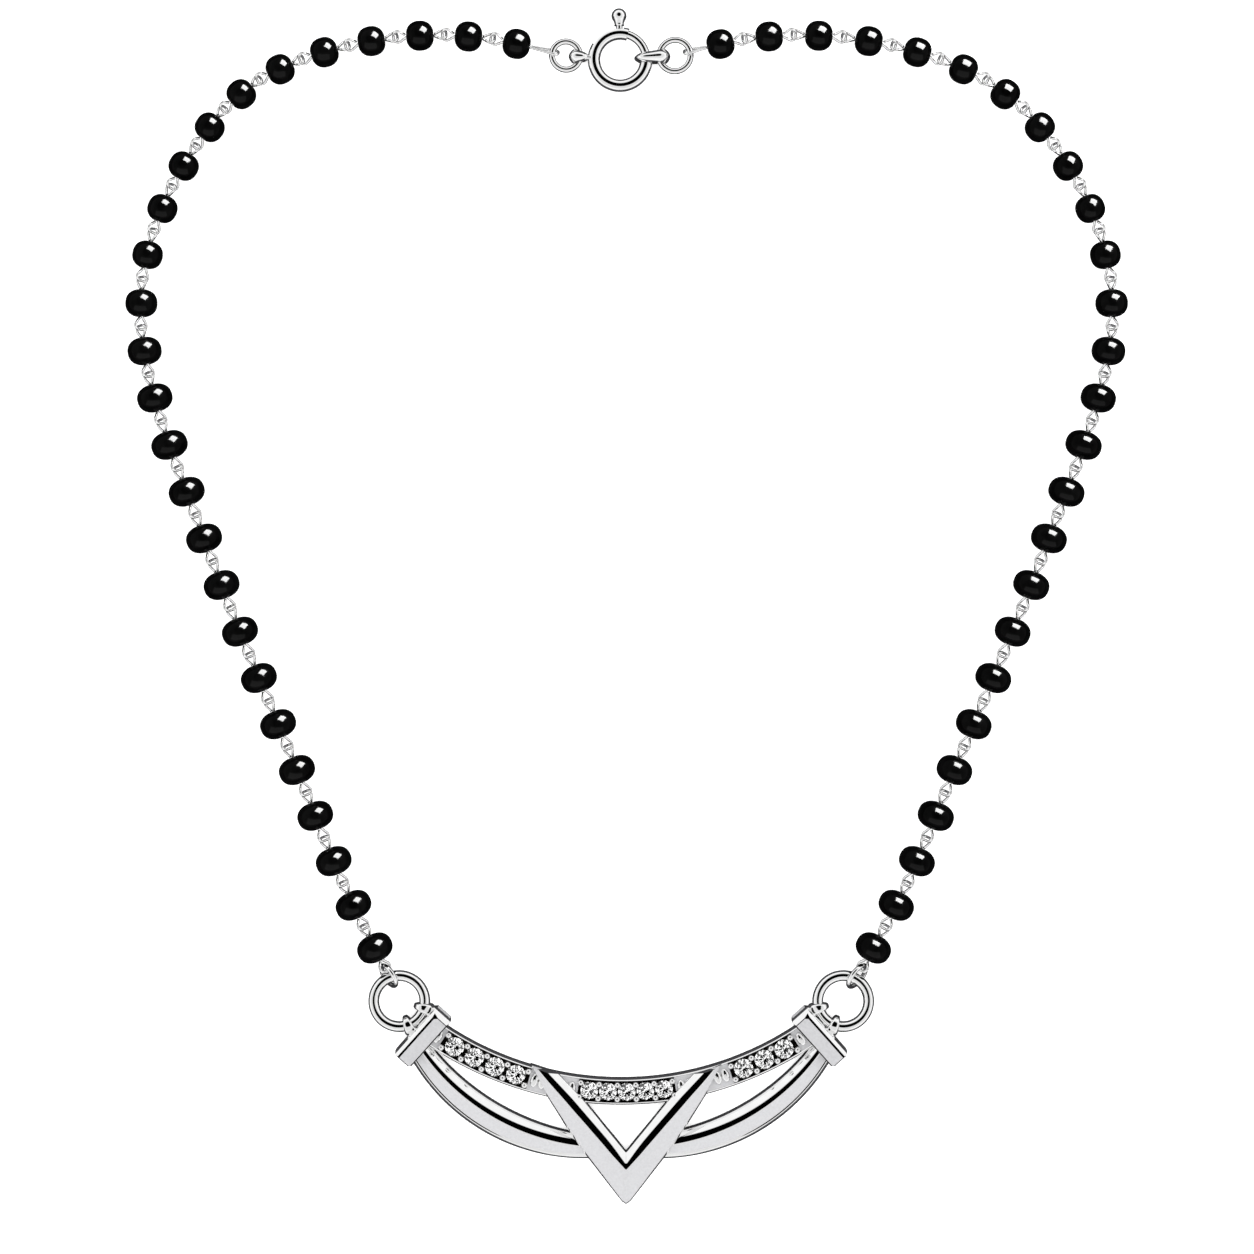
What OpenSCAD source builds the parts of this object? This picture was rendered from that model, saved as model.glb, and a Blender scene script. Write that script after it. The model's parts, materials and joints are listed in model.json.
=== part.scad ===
// Necklace of black beads on wire pins, with a spring ring clasp and a pendant set with clear
// stones. It lies flat with +Z up, and +Y runs from the pendant to the clasp.

/* [Beads] */
// Length of a bead along the chain
bead_len = 3.5; // [3.3:0.05:3.7]
// Width across the small beads near the clasp
bead_small = 3.75; // [3.7:0.05:4.1]
// Width across the large beads near the pendant
bead_large = 4.6; // [4.2:0.1:5]
// Diameter of the hole through a bead
bead_bore = 1; // [0.95:0.05:1.1]
// Diameter of the dimple at each end of the hole
bead_dimple = 1.35; // [1.3:0.05:1.6]

/* [Wire pins] */
// Diameter of the pin wire
pin_wire = 0.36; // [0.3:0.02:0.4]
// Width of a pin's eye between the middles of its two wires
eye_w = 1.7; // [1.5:0.05:1.9]
// Radius of the rounded corners of an eye
eye_round = 0.5; // [0.3:0.05:0.6]

/* [Clasp] */
// Radius of the spring ring to the middle of its tube
clasp_r = 3.27; // [3:0.05:3.6]
// Outer diameter of the spring ring's tube
tube_d = 1.55; // [1.5:0.05:1.7]
// Wall of the tube
tube_wall = 0.13; // [0.1:0.01:0.15]
// Diameter of the sliding tongue
tongue_d = 1.05; // [0.9:0.05:1.05]
// Height of the middle of the clasp above the surface it lies on
clasp_z = 1.4; // [1.4:0.05:1.7]
// Angle at which the tube's mouth begins
mouth_from = 8; // [4:1:12]
// Angle at which the tube's mouth ends
mouth_to = 73; // [68:1:76]
// Angle of the knob when the clasp is shut
knob_angle = 91.5; // [90:0.5:96]
// Angle that the knob slides through
knob_travel = 50; // [44:1:52]
// Diameter of the knob
knob_d = 1.9; // [1.6:0.1:2.1]
// Distance from the clasp's middle to the top of the knob
knob_reach = 6.43; // [6.3:0.05:6.7]
// Thickness of the band that the clasp's tags are bent from
band = 0.4; // [0.35:0.05:0.5]
// Width of a tag at its outer end
tag_w = 1.7; // [1.4:0.1:1.9]
// Width of a tag at the tube
tag_neck = 1; // [0.9:0.1:1.3]
// Distance from the clasp's middle to the end of the soldered tag
tag_reach = 6.3; // [6:0.05:6.6]
// Distance from the clasp's middle to the end of the loose tag
loose_reach = 6.15; // [6:0.05:6.6]

/* [Rings] */
// Wire of the two small jump rings
jump_wire = 0.78; // [0.7:0.02:0.84]
// Radius of the left jump ring to the middle of its wire
jump_left_r = 1.76; // [1.7:0.02:2]
// Radius of the right jump ring to the middle of its wire
jump_right_r = 1.96; // [1.8:0.02:2.1]
// Wire of the two end links that hold the pendant rings
link_wire = 0.62; // [0.56:0.02:0.7]
// Wire of the two pendant rings
pend_wire = 1.37; // [1.25:0.02:1.41]
// Radius of a pendant ring to the middle of its wire
pend_r = 3.19; // [3.05:0.02:3.35]

/* [Pendant caps] */
// Distance from the pendant's middle line to the middle of a cap
cap_x = 24.75; // [24:0.25:25.5]
// Turn of a cap's long side from the X axis
cap_turn = 48.2; // [46:0.2:50]
// Length of a cap
cap_l = 7.9; // [7.5:0.1:8.4]
// Width of a cap
cap_w = 2.8; // [2.6:0.1:3.2]
// Height of a cap
cap_h = 3.6; // [3.4:0.1:4]
// Bevel of a cap's long outer top edge
cap_bevel = 0.75; // [0.5:0.05:0.9]
// Bevel of a cap's two ends
cap_end = 0.9; // [0.5:0.1:1.1]
// Distance from a cap's outer side to the middle of its ring
ring_seat = 3.7; // [3.65:0.05:3.9]
// Distance of the ring from the middle of the cap's long side
ring_shift = 1.24; // [0.8:0.1:1.5]
// Angle of each knuckle round the ring
knuckle_angle = 27; // [24:1:32]
// Width of a knuckle along the ring
knuckle_w = 1.2; // [1:0.1:1.4]
// Wall of a knuckle
knuckle_wall = 0.45; // [0.35:0.05:0.6]

/* [Pendant bars] */
// Radius of the stone bar to its middle
bar_r = 41.25; // [40:0.25:43]
// Width of the stone bar
bar_w = 3.3; // [3.2:0.1:3.6]
// Height of the stone bar
bar_h = 2; // [1.9:0.1:2.1]
// Width of the rim at each edge of the stone bar
rim = 0.3; // [0.25:0.05:0.4]
// Depth of the channel that the stones sit in
channel_d = 0.4; // [0.3:0.05:0.5]
// How far the bar's middle passes inside the middle of a cap
bar_in = 1; // [0.8:0.1:1.4]
// Radius of the crescent's inner edge
crescent_in_r = 30.45; // [29.5:0.25:31.5]
// Radius of the crescent's two outer arcs
crescent_out_r = 24.8; // [24.25:0.05:25.5]
// Distance of the middle of each outer arc from the pendant's middle line
lobe_x = 4.8; // [4.4:0.1:5]
// Height of the crescent's edges
crescent_edge = 1.3; // [1:0.1:1.5]
// Rise of the crescent's steep inner face for each millimetre
steep = 0.8; // [0.6:0.05:0.9]
// Rise of the crescent's wide outer face for each millimetre
gentle = 0.4; // [0.3:0.05:0.45]

/* [Chevron] */
// Half of the chevron's width between its upper corners
chev_half = 11.95; // [11.2:0.05:12.4]
// Distance of the chevron's tip below the crescent
chev_drop = 5.55; // [5:0.05:6.5]
// Distance of the chevron to the right of the pendant's middle line
chev_shift = 0.6; // [0.4:0.1:0.8]
// Height of the chevron's back
chev_back = 0.5; // [0.3:0.1:0.9]
// Height of the chevron's edges
chev_edge = 2.5; // [2.4:0.1:2.8]
// Height of the chevron's ridge
chev_ridge = 3.4; // [3.2:0.1:3.8]

/* [Stones] */
// Diameter of the outer stones
stone_d = 2.4; // [2.2:0.05:2.4]
// Diameter of the stones inside the chevron
small_stone_d = 2.2; // [2:0.05:2.2]
// Distance from one outer stone to the next
stone_pitch = 2.8; // [2.75:0.05:2.9]
// Distance from one stone inside the chevron to the next
small_pitch = 2.34; // [2.3:0.02:2.4]
// Diameter of the balls that hold the stones
ball_d = 0.8; // [0.6:0.05:0.8]
// Distance between the two balls of a pair
ball_gap = 1.8; // [1.7:0.05:1.85]

/* [Hidden] */
$fn = 64;

// Colours of the metal, the beads and the stones
silver = [0.86, 0.86, 0.87];
jet = [0.06, 0.06, 0.07];
clear = [0.90, 0.94, 0.97];

// Smallest gap between two loose pieces, the gap round a thin wire in a loop, the gap round a
// pendant ring and the gap between the last bead and its end link
gap = 0.12;
play = 0.18;
ring_play = 0.18;
link_gap = 0.45;

// Places of the clasp's middle and of the middle between the two caps
clasp_at = [-0.8, 68.28];
pendant_at = [-0.66, -53.7];

// Route of the beads, mirrored for the two sides of the chain. Each row holds the number of a
// bead, half of the spread between the left and the right bead, their Y and the shift of both
beads_side = 26;
route = [
    [1, 12.7, 70.3, -1],
    [3, 24.9, 71.3, -0.9],
    [4, 31.1, 70.6, -0.8],
    [6, 42.7, 67.1, -0.6],
    [7, 47.9, 64.1, -0.4],
    [8, 51.9, 59.8, -0.2],
    [11, 59.9, 43.9, 0],
    [12, 60.8, 37.7, 0],
    [13, 60.2, 31.8, 0],
    [17, 52.7, 8.4, 0],
    [22, 41, -20.5, -0.1],
    [25, 33.9, -37.4, -0.2],
    [26, 31.1, -42.7, -0.3]
];
route_last = len(route) - 1;

// The beads widen from the small size to the large one between these two beads
widen_from = 10.5;
widen_over = 4;

function unit(v) = v / norm(v);
function step(i) = route[i + 1][0] - route[i][0];
function rise(i) = (route[i + 1] - route[i]) / step(i);
function end_rate(a, b) = rise(a) + (rise(a) - rise(b)) * step(a) / (step(a) + step(b));
function rate(i) =
    i == 0 ? end_rate(0, 1)
    : i == route_last ? end_rate(i - 1, i - 2)
    : (rise(i - 1) * step(i) + rise(i) * step(i - 1)) / (step(i - 1) + step(i));
function span_of(t, i = 0) = i >= route_last - 1 || route[i + 1][0] > t ? i : span_of(t, i + 1);
function blend(i, u) =
    (2 * u ^ 3 - 3 * u ^ 2 + 1) * route[i]
    + (u ^ 3 - 2 * u ^ 2 + u) * step(i) * rate(i)
    + (3 * u ^ 2 - 2 * u ^ 3) * route[i + 1]
    + (u ^ 3 - u ^ 2) * step(i) * rate(i + 1);
function route_at(t) = let (i = span_of(t)) blend(i, (t - route[i][0]) / step(i));

// Place on the chain in plan, with side -1 for the left and 1 for the right
function plan_at(side, t) = let (r = route_at(t)) [r[3] + side * r[1], r[2]];
function bead_w(k) =
    bead_small + (bead_large - bead_small) * min(1, max(0, (k - widen_from) / widen_over));
function spot(plan, z) = [plan[0], plan[1], z];

// Clasp: the tags lie at this angle to the X axis. A tag's band stays clear of the curve of the
// jump ring's wire, which passes through it
tag_turn = 4;
tube_r = tube_d / 2;
bore_r = tube_r - tube_wall;
function jump_r(side) = side < 0 ? jump_left_r : jump_right_r;
function reach_of(side) = side < 0 ? tag_reach : loose_reach;
function bow(side) =
    let (hole_r = jump_r(side) - jump_wire / 2)
    hole_r - sqrt(hole_r ^ 2 - (tag_w / 2) ^ 2);
function hold_r(side) = reach_of(side) - band - play - jump_wire / 2 - bow(side);
function hold_at(side) =
    clasp_at + hold_r(side) * [side * cos(tag_turn), sin(tag_turn)];

// Jump rings: each leans from its tag up to the height of the first bead
function jump_rise(side) = (bead_small / 2 - clasp_z) / 2;
function jump_way(side) = [
    side * cos(tag_turn) * sqrt(jump_r(side) ^ 2 - jump_rise(side) ^ 2),
    sin(tag_turn) * sqrt(jump_r(side) ^ 2 - jump_rise(side) ^ 2),
    jump_rise(side)
];
function jump_at(side) = spot(hold_at(side), clasp_z) + jump_way(side);
function jump_end(side) =
    let (middle = [jump_at(side)[0], jump_at(side)[1]])
    spot(middle + jump_r(side) * unit(plan_at(side, 1) - middle), bead_small / 2);

// Pendant rings: place of each ring in its cap's frame, and in plan
cap_ring = [ring_shift, cap_w / 2 + ring_seat];
ring_z = cap_h / 2;
function turn(v, a) = [v[0] * cos(a) - v[1] * sin(a), v[0] * sin(a) + v[1] * cos(a)];
left_ring = [-cap_x, 0] + turn(cap_ring, cap_turn);
function ring_at(side) = pendant_at + [-side * left_ring[0], left_ring[1]];

// Joints of the chain: joint 0 is held by the jump ring, joint 26 by the end link
link_off = bead_len / 2 + link_gap + link_wire / 2;
function joint(side, k) =
    k == 0 ? jump_end(side)
    : k == beads_side ? spot(
        plan_at(side, k) + link_off * unit(plan_at(side, k) - plan_at(side, k - 0.5)), bead_large / 2)
    : spot(plan_at(side, k + 0.5), max(bead_w(k), bead_w(k + 1)) / 2);
function bead_at(side, k) =
    k == 1 ? joint(side, 1)
        + norm(plan_at(side, 1) - plan_at(side, 1.5)) * unit(joint(side, 0) - joint(side, 1))
    : k == beads_side ? joint(side, k) - link_off * unit(joint(side, k) - joint(side, k - 1))
    : (joint(side, k - 1) + joint(side, k)) / 2;

// Moves a shape that lies along X to a point, along a direction, turned about that direction
module along(point, way, roll = 0) {
    translate(point)
        rotate([0, -asin(way[2] / norm(way)), atan2(way[1], way[0])])
            rotate([roll, 0, 0])
                children();
}

// Half section of a bead, with its hole and dimples cut out
module bead_section(across) {
    half = bead_len / 2;
    flat = across / 2 - half;
    dimple_d = bead_dimple - bead_bore;
    difference() {
        union() {
            translate([flat, 0]) circle(r = half);
            translate([0, -half]) square([flat, bead_len]);
        }
        polygon([
            [-across, -bead_len], [bead_dimple / 2, -bead_len], [bead_dimple / 2, -half],
            [bead_bore / 2, -half + dimple_d], [bead_bore / 2, half - dimple_d],
            [bead_dimple / 2, half], [bead_dimple / 2, bead_len], [-across, bead_len]
        ]);
    }
}

module bead_string(side) {
    color(jet)
        for (k = [1 : beads_side])
            along(bead_at(side, k), joint(side, k) - joint(side, k - 1))
                rotate([0, 90, 0])
                    rotate_extrude()
                        bead_section(bead_w(k));
}

// Wire pins: a ring of points goes round the wire at each step of its path
pin_sides = 5;
corner_steps = 3;
// The wire's sides stand a little outside its true circle, to keep its thickness
pin_mesh_r = 0.54 * pin_wire;
stem_off = pin_wire / 2;
// The cut tail of an eye ends beside the stem and a little above the bead
tail_off = 0.24;
tail_lift = 0.1;
// Turns of the eyes about the chain: neighbours cross at a right angle
eye_roll = 45;
first_eye_roll = 65;
eye_past = (pin_wire + gap) / 2;
past_jump = (jump_wire + pin_wire) / 2 + play;
past_link = (link_wire + pin_wire) / 2 + play;

// Eye in its own plane from its cut tail round to the stem, X pointing away from the bead
function eye_path(reach) =
    let (
        corner = [reach - eye_round, eye_w / 2 - eye_round],
        tail = corner - [tail_lift, tail_off],
        stem = corner - [0, stem_off],
        tail_lean = atan2(tail[1], tail[0]) + asin(eye_round / norm(tail)),
        stem_lean = atan2(stem[1], stem[0]) + asin(eye_round / norm(stem))
    )
    [
        [tail_lift, -tail_off],
        for (i = [0 : corner_steps])
            let (a = -(90 + tail_lean) * (1 - i / corner_steps))
                [corner[0], -corner[1]] + eye_round * [cos(a), sin(a)],
        for (i = [0 : corner_steps])
            let (a = (90 + stem_lean) * i / corner_steps)
                corner + eye_round * [cos(a), sin(a)],
        [0, stem_off]
    ];
function reversed(list) = [for (i = [len(list) - 1 : -1 : 0]) list[i]];
function past_start(k) = k == 1 ? past_jump : eye_past;
function past_end(k) = k == beads_side ? past_link : eye_past;

// Rows of [point, plane normal, start angle] along pin number k
function pin_rows(side, k) =
    let (
        from = joint(side, k - 1),
        to = joint(side, k),
        middle = bead_at(side, k),
        way = unit(to - from),
        flat = unit([-way[1], way[0], 0]),
        up = cross(way, flat),
        half = bead_len / 2,
        start_a = k == 1 ? first_eye_roll : eye_roll,
        start_turn = side < 0 ? start_a : 180 - start_a,
        end_turn = side < 0 ? -eye_roll : 180 + eye_roll,
        start_v = flat * cos(start_turn) + up * sin(start_turn),
        end_v = flat * cos(end_turn) + up * sin(end_turn),
        start_eye = eye_path(norm(middle - from) - half + past_start(k)),
        end_eye = reversed(eye_path(norm(to - middle) - half + past_end(k)))
    )
    [
        for (p = start_eye)
            [middle - way * (half + p[0]) + start_v * p[1], cross(way, start_v), -start_turn],
        for (p = end_eye)
            [middle + way * (half + p[0]) + end_v * p[1], cross(way, end_v), -end_turn]
    ];
function pin_points(side, k) =
    let (rows = pin_rows(side, k), last = len(rows) - 1)
    [
        for (i = [0 : last])
            let (
                ahead = rows[min(i + 1, last)][0] - rows[i][0],
                behind = rows[i][0] - rows[max(i - 1, 0)][0],
                after = i < last ? unit(ahead) : unit(behind),
                before = i > 0 ? unit(behind) : unit(ahead),
                heading = unit(before + after),
                across = rows[i][1],
                other = cross(heading, across)
            )
                for (j = [0 : pin_sides - 1])
                    let (a = rows[i][2] + j * 360 / pin_sides)
                        rows[i][0] + pin_mesh_r * (cos(a) * across + sin(a) * other)
    ];
pin_rings = 2 * (2 * corner_steps + 4);
pin_size = pin_rings * pin_sides;
function pin_faces(base) = [
    for (i = [0 : pin_rings - 2])
        for (j = [0 : pin_sides - 1])
            let (
                a = base + i * pin_sides + j,
                b = base + i * pin_sides + (j + 1) % pin_sides
            )
                each [[a, a + pin_sides, b + pin_sides], [a, b + pin_sides, b]],
    [for (j = [0 : pin_sides - 1]) base + j],
    [for (j = [pin_sides - 1 : -1 : 0]) base + pin_size - pin_sides + j]
];

module pin_row(side) {
    color(silver)
        polyhedron(
            points = [for (k = [1 : beads_side]) each pin_points(side, k)],
            faces = [for (k = [1 : beads_side]) each pin_faces((k - 1) * pin_size)]
        );
}

// Round wire bent to a circle
module torus(r, wire) {
    rotate_extrude() translate([r, 0]) circle(d = wire);
}

// Stretch of a bent round wire, from one angle over another
module bent_rod(r, d, from, over) {
    rotate([0, 0, from]) rotate_extrude(angle = over) translate([r, 0]) circle(d = d);
}

module jump_ring(side) {
    color(silver)
        along(jump_at(side), jump_way(side))
            torus(jump_r(side), jump_wire);
}

// Slot outline from x0 to x1 with round ends
module slot(x0, x1, r) {
    translate([x0 + r, 0]) circle(r = r);
    translate([x1 - r, 0]) circle(r = r);
    translate([x0 + r, -r]) square([x1 - x0 - 2 * r, 2 * r]);
}

// Band bent round two wires in an upright plane, narrower at its inner end
module tag_shape(x0, x1) {
    tall = 4 * tube_d;
    intersection() {
        rotate([90, 0, 0]) linear_extrude(height = 2 * tag_w, center = true) children();
        linear_extrude(height = tall, center = true)
            polygon([[x0, -tag_neck / 2], [x1, -tag_w / 2], [x1, tag_w / 2], [x0, tag_neck / 2]]);
    }
}

// The tube's bore stays clear of the soldered tag, and the slot lets the knob slide
neck_d = 0.8;
slot_gap = 0.15;
slot_margin = 8.5;

module clasp_body() {
    soldered_r = jump_wire / 2 + play + band;
    color(silver)
        translate([clasp_at[0], clasp_at[1], clasp_z])
            difference() {
                union() {
                    bent_rod(clasp_r, tube_d, mouth_to, 360 + mouth_from - mouth_to);
                    mirror([1, 0, 0]) rotate([0, 0, tag_turn])
                        tag_shape(clasp_r, tag_reach) difference() {
                            slot(clasp_r, tag_reach, soldered_r);
                            slot(clasp_r + tube_r + band, tag_reach - band, soldered_r - band);
                        }
                }
                torus(clasp_r, 2 * bore_r);
                rotate([0, 0, knob_angle - slot_margin])
                    rotate_extrude(angle = knob_travel + 2 * slot_margin)
                        translate([clasp_r, -neck_d / 2 - slot_gap])
                            square([tube_d, neck_d + 2 * slot_gap]);
            }
}

// The tongue closes the mouth and ends inside the tube on both sides
tongue_from = 2;
tongue_tail = 12;
// Foot of the knob: its gap from the tube and its diameters at the bottom and the top
foot_gap = 0.2;
foot_d = 1.4;
foot_top_d = 1.75;
foot_top = 0.3;

module clasp_trigger() {
    knob_r = knob_d / 2;
    foot = clasp_r + tube_r + foot_gap;
    color(silver)
        translate([clasp_at[0], clasp_at[1], clasp_z]) {
            bent_rod(clasp_r, tongue_d, tongue_from, knob_angle + tongue_tail - tongue_from);
            rotate([0, 0, knob_angle]) rotate([0, 90, 0]) {
                translate([0, 0, clasp_r]) cylinder(d = neck_d, h = knob_reach - knob_r - clasp_r);
                translate([0, 0, foot])
                    cylinder(d1 = foot_d, d2 = foot_top_d, h = knob_reach - knob_r - foot - foot_top);
                translate([0, 0, knob_reach - knob_r]) sphere(d = knob_d);
            }
        }
}

// Loose tag round the tube and the right jump ring
module clasp_tag() {
    loose_r = tube_r + play + band;
    near = clasp_r - loose_r;
    color(silver)
        translate([clasp_at[0], clasp_at[1], clasp_z])
            rotate([0, 0, tag_turn])
                tag_shape(near, loose_reach) difference() {
                    slot(near, loose_reach, loose_r);
                    slot(near + band, loose_reach - band, loose_r - band);
                }
}

// Round link from the last pin's eye to the pendant ring
link_roll = 61;

module end_link(side) {
    start = joint(side, beads_side);
    toward = unit(start - spot(ring_at(side), start[2]));
    held = spot(ring_at(side), ring_z) + pend_r * toward;
    r = (norm(held - start) + (pend_wire + link_wire) / 2 + play) / 2;
    color(silver)
        along(start, held - start, side < 0 ? link_roll : 180 - link_roll)
            translate([r, 0, 0])
                torus(r, link_wire);
}

module pendant_ring(side) {
    color(silver)
        translate(spot(ring_at(side), ring_z))
            torus(pend_r, pend_wire);
}

// Pendant frame: these are worked out in the pendant's frame, with Y 0 at the caps' middles
bar_rise = sqrt((bar_r + bar_in) ^ 2 - cap_x ^ 2);
// The crescent's edges meet the cap's inner side at these shares of its length from its middle
top_share = 0.037;
foot_share = 0.438;
cap_line = [cos(cap_turn), sin(cap_turn)];
cap_inner = [-cap_x, 0] + cap_w / 2 * [sin(cap_turn), -cos(cap_turn)];
crescent_top = cap_inner - top_share * cap_l * cap_line;
crescent_foot = cap_inner - foot_share * cap_l * cap_line;
crescent_in_y = crescent_top[1] + sqrt(crescent_in_r ^ 2 - crescent_top[0] ^ 2);
crescent_out_y = crescent_foot[1] + sqrt(crescent_out_r ^ 2 - (crescent_foot[0] + lobe_x) ^ 2);
// The crescent's cones are cut this far above its edges
crescent_over = 2;
// Width of the break in the crescent, which the chevron covers
crescent_break = 5.2;

// Stone groups: each row holds a count, the group's middle as a share of the way from the middle
// of the bar to its end, the pitch and the size
bar_reach = atan2(cap_x, bar_rise);
groups = [
    [4, -0.682, stone_pitch, stone_d],
    [5, 0.0265, small_pitch, small_stone_d],
    [3, 0.715, stone_pitch, stone_d]
];
function pitch_angle(g) = g[2] / bar_r * 180 / PI;
function stone_angle(g, i) = g[1] * bar_reach + (i - (g[0] - 1) / 2) * pitch_angle(g);
stones = [for (g = groups) for (i = [0 : g[0] - 1]) [stone_angle(g, i), g[3]]];
// The stones' widest line lies a little below the top of the rims, and the balls above it
stone_sink = 0.05;
ball_lift = 0.4;
girdle_z = bar_h - stone_sink;
ball_z = girdle_z + ball_lift;
channel_w = bar_w - 2 * rim;
// The channel runs past the middles of a group's first and last stone by this share of the pitch
channel_past = 0.62;
// Holes behind the stones, as a share of their diameter
hole_share = 0.85;

module both() {
    children();
    mirror([1, 0, 0]) children();
}

module cap_frame() {
    translate([-cap_x, 0, 0]) rotate([0, 0, cap_turn]) children();
}

module cap() {
    x = cap_l / 2;
    y = cap_w / 2;
    e = cap_end;
    b = cap_bevel;
    s = cap_bevel / 2;
    intersection() {
        linear_extrude(height = cap_h)
            polygon([
                [-x + s, -y], [x - s, -y], [x, -y + s], [x, y - s],
                [x - s, y], [-x + s, y], [-x, y - s], [-x, -y + s]
            ]);
        rotate([90, 0, 0]) linear_extrude(height = 2 * cap_w, center = true)
            polygon([
                [-x, 0], [x, 0], [x, cap_h - e],
                [x - e, cap_h], [-x + s, cap_h], [-x, cap_h - s]
            ]);
        rotate([90, 0, 90]) linear_extrude(height = 2 * cap_l, center = true)
            polygon([
                [-y, 0], [y, 0], [y, cap_h - b],
                [y - b, cap_h], [-y + s / 2, cap_h], [-y, cap_h - s / 2]
            ]);
    }
}

module knuckles() {
    for (a = [-knuckle_angle, knuckle_angle])
        translate([cap_ring[0], cap_ring[1], ring_z])
            rotate([0, 0, a]) translate([0, -pend_r, 0]) rotate([0, 90, 0])
                cylinder(d = pend_wire + 2 * (ring_play + knuckle_wall), h = knuckle_w, center = true);
}

// Places children at an angle from straight down, at a radius of the stone bar
module on_bar(a, r = bar_r) {
    translate([0, bar_rise, 0]) rotate([0, 0, a]) translate([0, -r, 0]) children();
}

module stone_bar() {
    difference() {
        translate([0, bar_rise, 0]) rotate([0, 0, -90 - bar_reach])
            rotate_extrude(angle = 2 * bar_reach)
                translate([bar_r - bar_w / 2, 0]) square([bar_w, bar_h]);
        for (g = groups)
            translate([0, bar_rise, bar_h - channel_d])
                rotate([0, 0, stone_angle(g, -channel_past) - 90])
                    rotate_extrude(angle = (g[0] - 1 + 2 * channel_past) * pitch_angle(g))
                        translate([bar_r - channel_w / 2, 0]) square([channel_w, bar_h]);
        for (s = stones)
            on_bar(s[0]) translate([0, 0, -bar_h]) cylinder(d = hole_share * s[1], h = 3 * bar_h);
    }
    for (g = groups)
        for (i = [0 : g[0]])
            for (r = [bar_r - ball_gap / 2, bar_r + ball_gap / 2])
                on_bar(stone_angle(g, i - 0.5), r) ball_prong();
}

prong_d = 0.48;
module ball_prong() {
    translate([0, 0, bar_h / 2]) cylinder(d = prong_d, h = ball_z - bar_h / 2);
    translate([0, 0, ball_z]) sphere(d = ball_d);
}

// Crescent: a gentle cone falls to each outer arc and a steep one falls to the inner edge
module crescent() {
    high = crescent_edge + crescent_over;
    beyond = 4 * cap_l;
    intersection() {
        difference() {
            for (side = [-1, 1])
                translate([side * lobe_x, crescent_out_y, 0]) rotate_extrude() polygon([
                    [0, 0], [crescent_out_r, 0], [crescent_out_r, crescent_edge],
                    [crescent_out_r - crescent_over / gentle, high], [0, high]
                ]);
            translate([0, crescent_in_y, 0]) rotate_extrude() polygon([
                [0, -1], [crescent_in_r, -1], [crescent_in_r, crescent_edge],
                [crescent_in_r + (crescent_over + 1) / steep, high + 1], [0, high + 1]
            ]);
            translate([chev_shift - crescent_break / 2, crescent_out_y - 2 * crescent_out_r, -1])
                cube([crescent_break, 2 * crescent_out_r, 2 * high]);
        }
        linear_extrude(height = 2 * high) polygon([
            [-cap_x, 0] + cap_l / 2 * cap_line, [-cap_x, 0] - beyond * cap_line,
            [cap_x, 0] - beyond * [-cap_line[0], cap_line[1]],
            [cap_x, 0] + cap_l / 2 * [-cap_line[0], cap_line[1]]
        ]);
    }
}

// Chevron: rows from an upper end to the tip, as shares of its half width and of its drop.
// Each row holds the outer edge x and y, the ridge x and y and the inner edge x and y
chev_rows = [
    [1, 1, 0.87, 0.948, 0.7, 0.932],
    [0.84, 0.785, 0.62, 0.772, 0.46, 0.76],
    [0.61, 0.535, 0.385, 0.595, 0.245, 0.565],
    [0.407, 0.338, 0.18, 0.43, 0.105, 0.465],
    [0.045, 0.02, 0.004, 0.281, 0.004, 0.378]
];
chev_bottom = [0, 0, 0, 0.28, 0, 0.377];
chev_top = bar_rise - sqrt((bar_r - bar_w / 2) ^ 2 - chev_half ^ 2);
chev_tip = crescent_out_y - crescent_out_r - chev_drop;
chev_tall = chev_top - chev_tip;
function chev_section(row, side) =
    let (
        outer = [side * row[0] * chev_half, row[1] * chev_tall],
        ridge = [side * row[2] * chev_half, row[3] * chev_tall],
        inner = [side * row[4] * chev_half, row[5] * chev_tall]
    )
    [
        spot(outer, chev_back), spot(outer, chev_edge), spot(ridge, chev_ridge),
        spot(inner, chev_edge), spot(inner, chev_back)
    ];

module chevron() {
    sections = [
        for (row = chev_rows) chev_section(row, -1),
        chev_section(chev_bottom, 0),
        for (i = [len(chev_rows) - 1 : -1 : 0]) chev_section(chev_rows[i], 1)
    ];
    last = len(sections) - 1;
    translate([chev_shift, chev_tip, 0])
        polyhedron(
            points = [for (s = sections) each s],
            faces = [
                [4, 3, 2, 1, 0],
                for (i = [0 : last - 1])
                    for (j = [0 : 4])
                        let (a = 5 * i + j, b = 5 * i + (j + 1) % 5)
                            each [[a, b + 5, a + 5], [a, b, b + 5]],
                [for (j = [0 : 4]) 5 * last + j]
            ]
        );
}

module pendant_frame() {
    color(silver)
        translate([pendant_at[0], pendant_at[1], 0])
            difference() {
                union() {
                    both() cap_frame() {
                        cap();
                        knuckles();
                    }
                    stone_bar();
                    crescent();
                    chevron();
                }
                both() cap_frame()
                    translate([cap_ring[0], cap_ring[1], ring_z])
                        torus(pend_r, pend_wire + 2 * ring_play);
            }
}

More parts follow.
